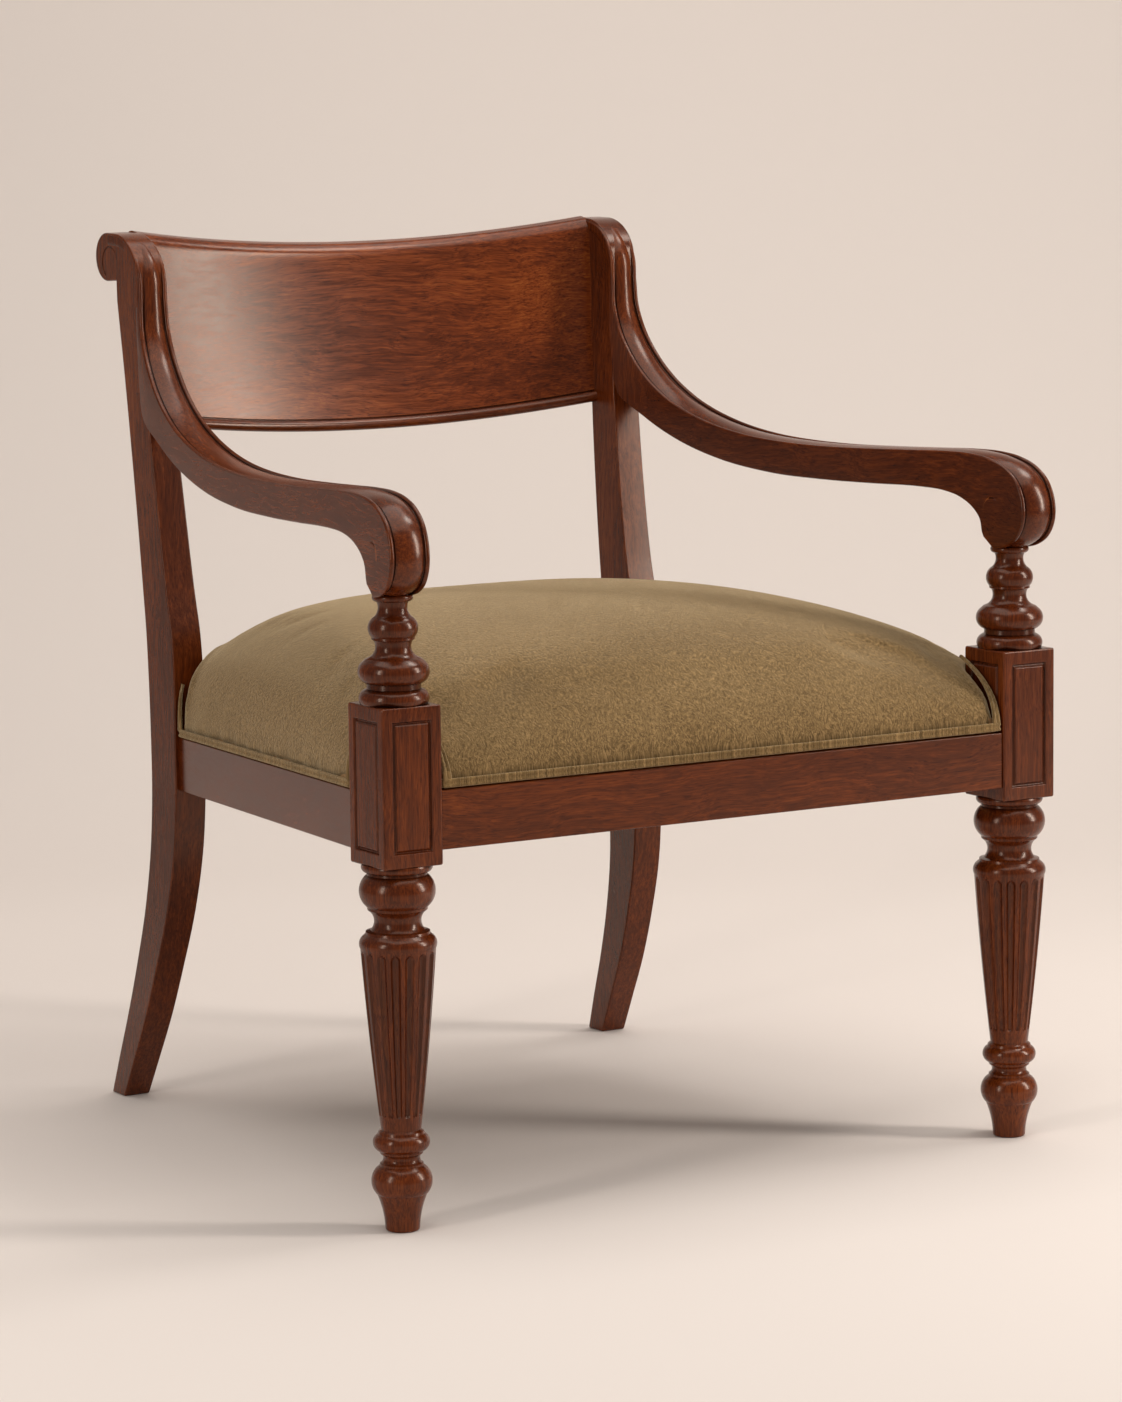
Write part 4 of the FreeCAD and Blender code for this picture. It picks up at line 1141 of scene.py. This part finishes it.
def welt_run(name, corners, depth):
    # corners: plan points of the run; its ends turn inwards by depth
    plan = []
    (x0, b0), (x1, b1) = corners
    run = Vector((x1 - x0, b1 - b0)).normalized()
    out = Vector((run.y, -run.x))
    r = 2.6
    start, end = Vector((x0, b0)), Vector((x1, b1))
    plan.append(start - out * depth)
    for i in range(5):
        a = math.pi / 2 * i / 4
        plan.append(start + run * (r - r * math.cos(a)) - out * (r - r * math.sin(a)))
    for i in range(1, 60):
        plan.append(start + run * r + (end - start - run * 2 * r) * i / 60)
    for i in range(5):
        a = math.pi / 2 * (1 - i / 4)
        plan.append(end - run * (r - r * math.cos(a)) - out * (r - r * math.sin(a)))
    plan.append(end - out * depth)
    path = [(p.x, at(p.y), seat_plane(p.y) + 1.0 + WELT_H / 2) for p in plan]
    slopes = np.gradient(np.array([(p.x, p.y) for p in plan]), axis=0)
    outs = [(s[1] / np.hypot(*s), -s[0] / np.hypot(*s), 0.0) for s in slopes]
    mesh = strip_mesh(name, path, outs, [WELT_H] * len(path), 3.0)
    return mesh


def welts():
    runs = [
        ((-NOTCH_X, SEAT_FRONT - 0.9), (NOTCH_X, SEAT_FRONT - 0.9)),
        ((HEEL_X, SEAT_REAR + 0.9), (-HEEL_X, SEAT_REAR + 0.9)),
        ((seat_half(NOTCH_BACK) + 0.9, NOTCH_BACK), (seat_half(HEEL_BACK) + 0.9, HEEL_BACK)),
        ((-seat_half(HEEL_BACK) - 0.9, HEEL_BACK), (-seat_half(NOTCH_BACK) - 0.9, NOTCH_BACK)),
    ]
    work = bmesh.new()
    for run in runs:
        work.from_mesh(welt_run("welt", run, 7.0))
    mesh = bpy.data.meshes.new("double_welt")
    work.to_mesh(mesh)
    work.free()
    made = place(mesh, "double_welt")
    lay_nap(made)
    finish_piece(made, MOHAIR, ["welt_band"], 60.0)


def inverse_front(share):
    # how far forward the dome has a given share of its height
    s = max(1 - share ** FRONT_M, 0.0) ** (1 / FRONT_N)
    return DOME_CROWN - (1 + DOME_CROWN) * s


def inverse_side(share):
    return max(1 - share ** SIDE_M, 0.0) ** (1 / SIDE_N)


def corner_strips():
    # strips up the front edge of each front notch, and up the side beside post and stile
    work = bmesh.new()
    for sign in (-1, 1):
        heights = np.linspace(WELT_H - 1.0, 62.0, 26)
        widths = [8.0 - 4.5 * (h - heights[0]) / (heights[-1] - heights[0]) for h in heights]
        path = []
        for h, w in zip(heights, widths):
            x = NOTCH_X - w / 2 - 0.2
            share = h / (DOME_H * side_share(x / seat_half(SEAT_FRONT)))
            back = SEAT_MID + SEAT_REACH * inverse_front(share)
            path.append((sign * x, at(back), seat_plane(back) + 0.5 + h))
        add_strip(work, path, (0.0, -1.0, 0.0), widths)
        for back, direction in ((NOTCH_BACK, 1), (HEEL_BACK, -1)):
            path = []
            high = np.linspace(WELT_H - 1.0, 48.0, 22)
            widths = [6.4 - 4.0 * (h - high[0]) / (high[-1] - high[0]) for h in high]
            for h, w in zip(high, widths):
                b = back + direction * (w / 2 + 0.2)
                share = h / (DOME_H * front_share((b - SEAT_MID) / SEAT_REACH))
                x = seat_half(b) * inverse_side(share)
                path.append((sign * x, at(b), seat_plane(b) + 0.5 + h))
            add_strip(work, path, (float(sign), 0.0, 0.0), widths)
    mesh = bpy.data.meshes.new("corner_piping")
    work.to_mesh(mesh)
    work.free()
    made = place(mesh, "corner_piping")
    lay_nap(made)
    finish_piece(made, MOHAIR, ["corner_cords"], 60.0)


def add_strip(work, path, flat_out, widths):
    tangents = np.gradient(np.array(path), axis=0)
    outs = []
    for t in tangents:
        o = np.array(flat_out) - t * np.dot(flat_out, t) / np.dot(t, t)
        outs.append(o / np.linalg.norm(o))
    lifted = [np.array(p) + o * STRIP_LIFT for p, o in zip(path, outs)]
    work.from_mesh(strip_mesh("strip", lifted, outs, widths, 3.2))


welts()
corner_strips()


# Underside cloth

def underside_cloth():
    half = [
        (POST_X - BLOCK_W / 2 - 3.0, FRONT_IN + 3.0),
        (POST_X - BLOCK_W / 2 - 3.0, BLOCK_D / 2 + 3.0),
        (side_rail_outer(BLOCK_D / 2 + 3.0) - SIDE_RAIL_T - 3.0, BLOCK_D / 2 + 3.0),
        (side_rail_outer(STILE_FRONT - 3.0) - SIDE_RAIL_T - 3.0, STILE_FRONT - 3.0),
        (STILE_X - STILE_T / 2 - 3.0, STILE_FRONT - 3.0),
        (STILE_X - STILE_T / 2 - 3.0, REAR_RAIL_BACK - 3.0),
    ]
    outline = half + [(-x, b) for x, b in reversed(half)]
    mesh = prism_mesh("underside_lining", outline,
                      lambda b: seat_plane(b) - 0.9, lambda b: seat_plane(b) - 0.2)
    made = place(mesh, "underside_lining")
    finish_piece(made, BLACK_LINING, ["dust_cover"])


underside_cloth()


# Finishes of the frame's own nodes

FINISHES = {"mahogany": MAHOGANY, "beech": BEECH, "steel": STEEL, "jute": JUTE,
            "stuffing": CURLED_HAIR, "pile_cloth": MOHAIR, "lining_cloth": BLACK_LINING}
PLUG_WOOD = mahogany("mahogany_end_plugs", grain_attribute=False)

for part in frame["record"]["subparts"]:
    node = frame["nodes"][part["node"]]
    material = PLUG_WOOD if part["node"] == "arm_screw_plugs" else FINISHES[part["material_slot"]]
    node.data.materials.clear()
    node.data.materials.append(material)


# Studio: pale floor that runs up into a wall, soft lamps, camera

TURN = math.radians(-31.204)
RISE = math.radians(7.717)
ROLL = math.radians(-0.678)
DISTANCE = 4278.5
TARGET = Vector((0.0, at(250.0), 387.4)) * MM
FOCAL_PX = 4800.0
PHOTO_H = 1402.0

toward = Vector((math.sin(TURN) * math.cos(RISE), -math.cos(TURN) * math.cos(RISE), math.sin(RISE)))
level_right = Vector((math.cos(TURN), math.sin(TURN), 0.0))
level_up = toward.cross(level_right)
right = math.cos(ROLL) * level_right + math.sin(ROLL) * level_up
up = -math.sin(ROLL) * level_right + math.cos(ROLL) * level_up

view = bpy.data.cameras.new("photo_view")
view.sensor_fit = "AUTO"
view.sensor_width = 36.0
view.lens = 36.0 * FOCAL_PX / PHOTO_H
view.clip_end = 50.0
camera = bpy.data.objects.new("photo_view", view)
bpy.context.scene.collection.objects.link(camera)
camera.matrix_world = Matrix.Translation(TARGET + toward * DISTANCE * MM) @ Matrix(
    ((right.x, up.x, toward.x), (right.y, up.y, toward.y), (right.z, up.z, toward.z))).to_4x4()
bpy.context.scene.camera = camera


def studio_floor():
    # floor and wall in one bent sheet, square to the camera's view
    away = Vector((-toward.x, -toward.y, 0.0)).normalized()
    across = Vector((away.y, -away.x, 0.0))
    profile = [(-6.0, 0.0), (-2.0, 0.0), (0.0, 0.0), (1.3, 0.0)]
    for i in range(1, 25):
        a = math.pi / 2 * i / 24
        profile.append((1.3 + 1.6 * math.sin(a), 1.6 - 1.6 * math.cos(a)))
    profile.append((2.9, 5.0))
    points, faces = [], []
    for d, z in profile:
        for w in (-9.0, 9.0):
            p = away * d + across * w
            points.append((p.x, p.y, z - 0.0002))
    for i in range(len(profile) - 1):
        faces.append((2 * i, 2 * i + 1, 2 * i + 3, 2 * i + 2))
    mesh = bpy.data.meshes.new("studio_floor")
    mesh.from_pydata(points, [], faces)
    mesh.shade_smooth()
    floor = place(mesh, "studio_floor")
    material, tree = new_material("matt_studio_paper")
    paper = add(tree, "ShaderNodeBsdfPrincipled",
                {"Base Color": srgb("#e4d9d1"), "Roughness": 0.85, "Specular IOR Level": 0.2})
    # the paper has one side only, so that it hides nothing from behind or below
    reverse = add(tree, "ShaderNodeNewGeometry", output="Backfacing")
    clear = add(tree, "ShaderNodeBsdfTransparent")
    sheet = add(tree, "ShaderNodeMixShader", {0: reverse, 1: paper, 2: clear})
    add(tree, "ShaderNodeOutputMaterial", {"Surface": sheet})
    mesh.materials.append(material)


def lamp(name, direction, distance, width, height, power, colour):
    light = bpy.data.lights.new(name, "AREA")
    light.shape = "RECTANGLE"
    light.size = width
    light.size_y = height
    light.energy = power
    light.color = srgb(colour)[:3]
    made = bpy.data.objects.new(name, light)
    bpy.context.scene.collection.objects.link(made)
    aim = Vector(direction).normalized()
    centre = Vector((0.0, 0.0, 0.45))
    made.location = centre + aim * distance
    made.rotation_euler = aim.to_track_quat("Z", "Y").to_euler()


def backdrop_lamp():
    # lights the wall from above and behind the chair, out of the picture
    away = Vector((-toward.x, -toward.y, 0.0)).normalized()
    light = bpy.data.lights.new("backdrop_lamp", "AREA")
    light.shape = "RECTANGLE"
    light.size = 3.0
    light.size_y = 0.8
    light.energy = 5.0
    light.color = srgb("#fff9f2")[:3]
    made = bpy.data.objects.new("backdrop_lamp", light)
    bpy.context.scene.collection.objects.link(made)
    made.location = away * 0.9 + Vector((0.0, 0.0, 2.4))
    aim = made.location - (away * 2.9 + Vector((0.0, 0.0, 0.9)))
    made.rotation_euler = aim.to_track_quat("Z", "Y").to_euler()


studio_floor()
lamp("key_softbox", (0.71, -0.66, 0.32), 2.8, 0.36, 1.8, 46.0, "#fffaf4")
lamp("overhead_softbox", (0.0, -0.12, 1.0), 2.6, 3.2, 3.2, 58.0, "#fffdfa")
lamp("upper_right_softbox", (0.50, -0.14, 0.84), 2.6, 0.7, 0.7, 14.0, "#fffdfa")
lamp("left_strip", (-0.95, -0.31, 0.24), 2.8, 0.24, 1.5, 18.0, "#fffaf4")
backdrop_lamp()

world = bpy.data.worlds.new("soft_room")
world.use_nodes = True
world.node_tree.nodes.clear()
sky = add(world.node_tree, "ShaderNodeBackground", {"Color": srgb("#fbf8f5"), "Strength": 0.24})
add(world.node_tree, "ShaderNodeOutputWorld", {"Surface": sky})
bpy.context.scene.world = world
bpy.context.scene.view_settings.view_transform = "Standard"
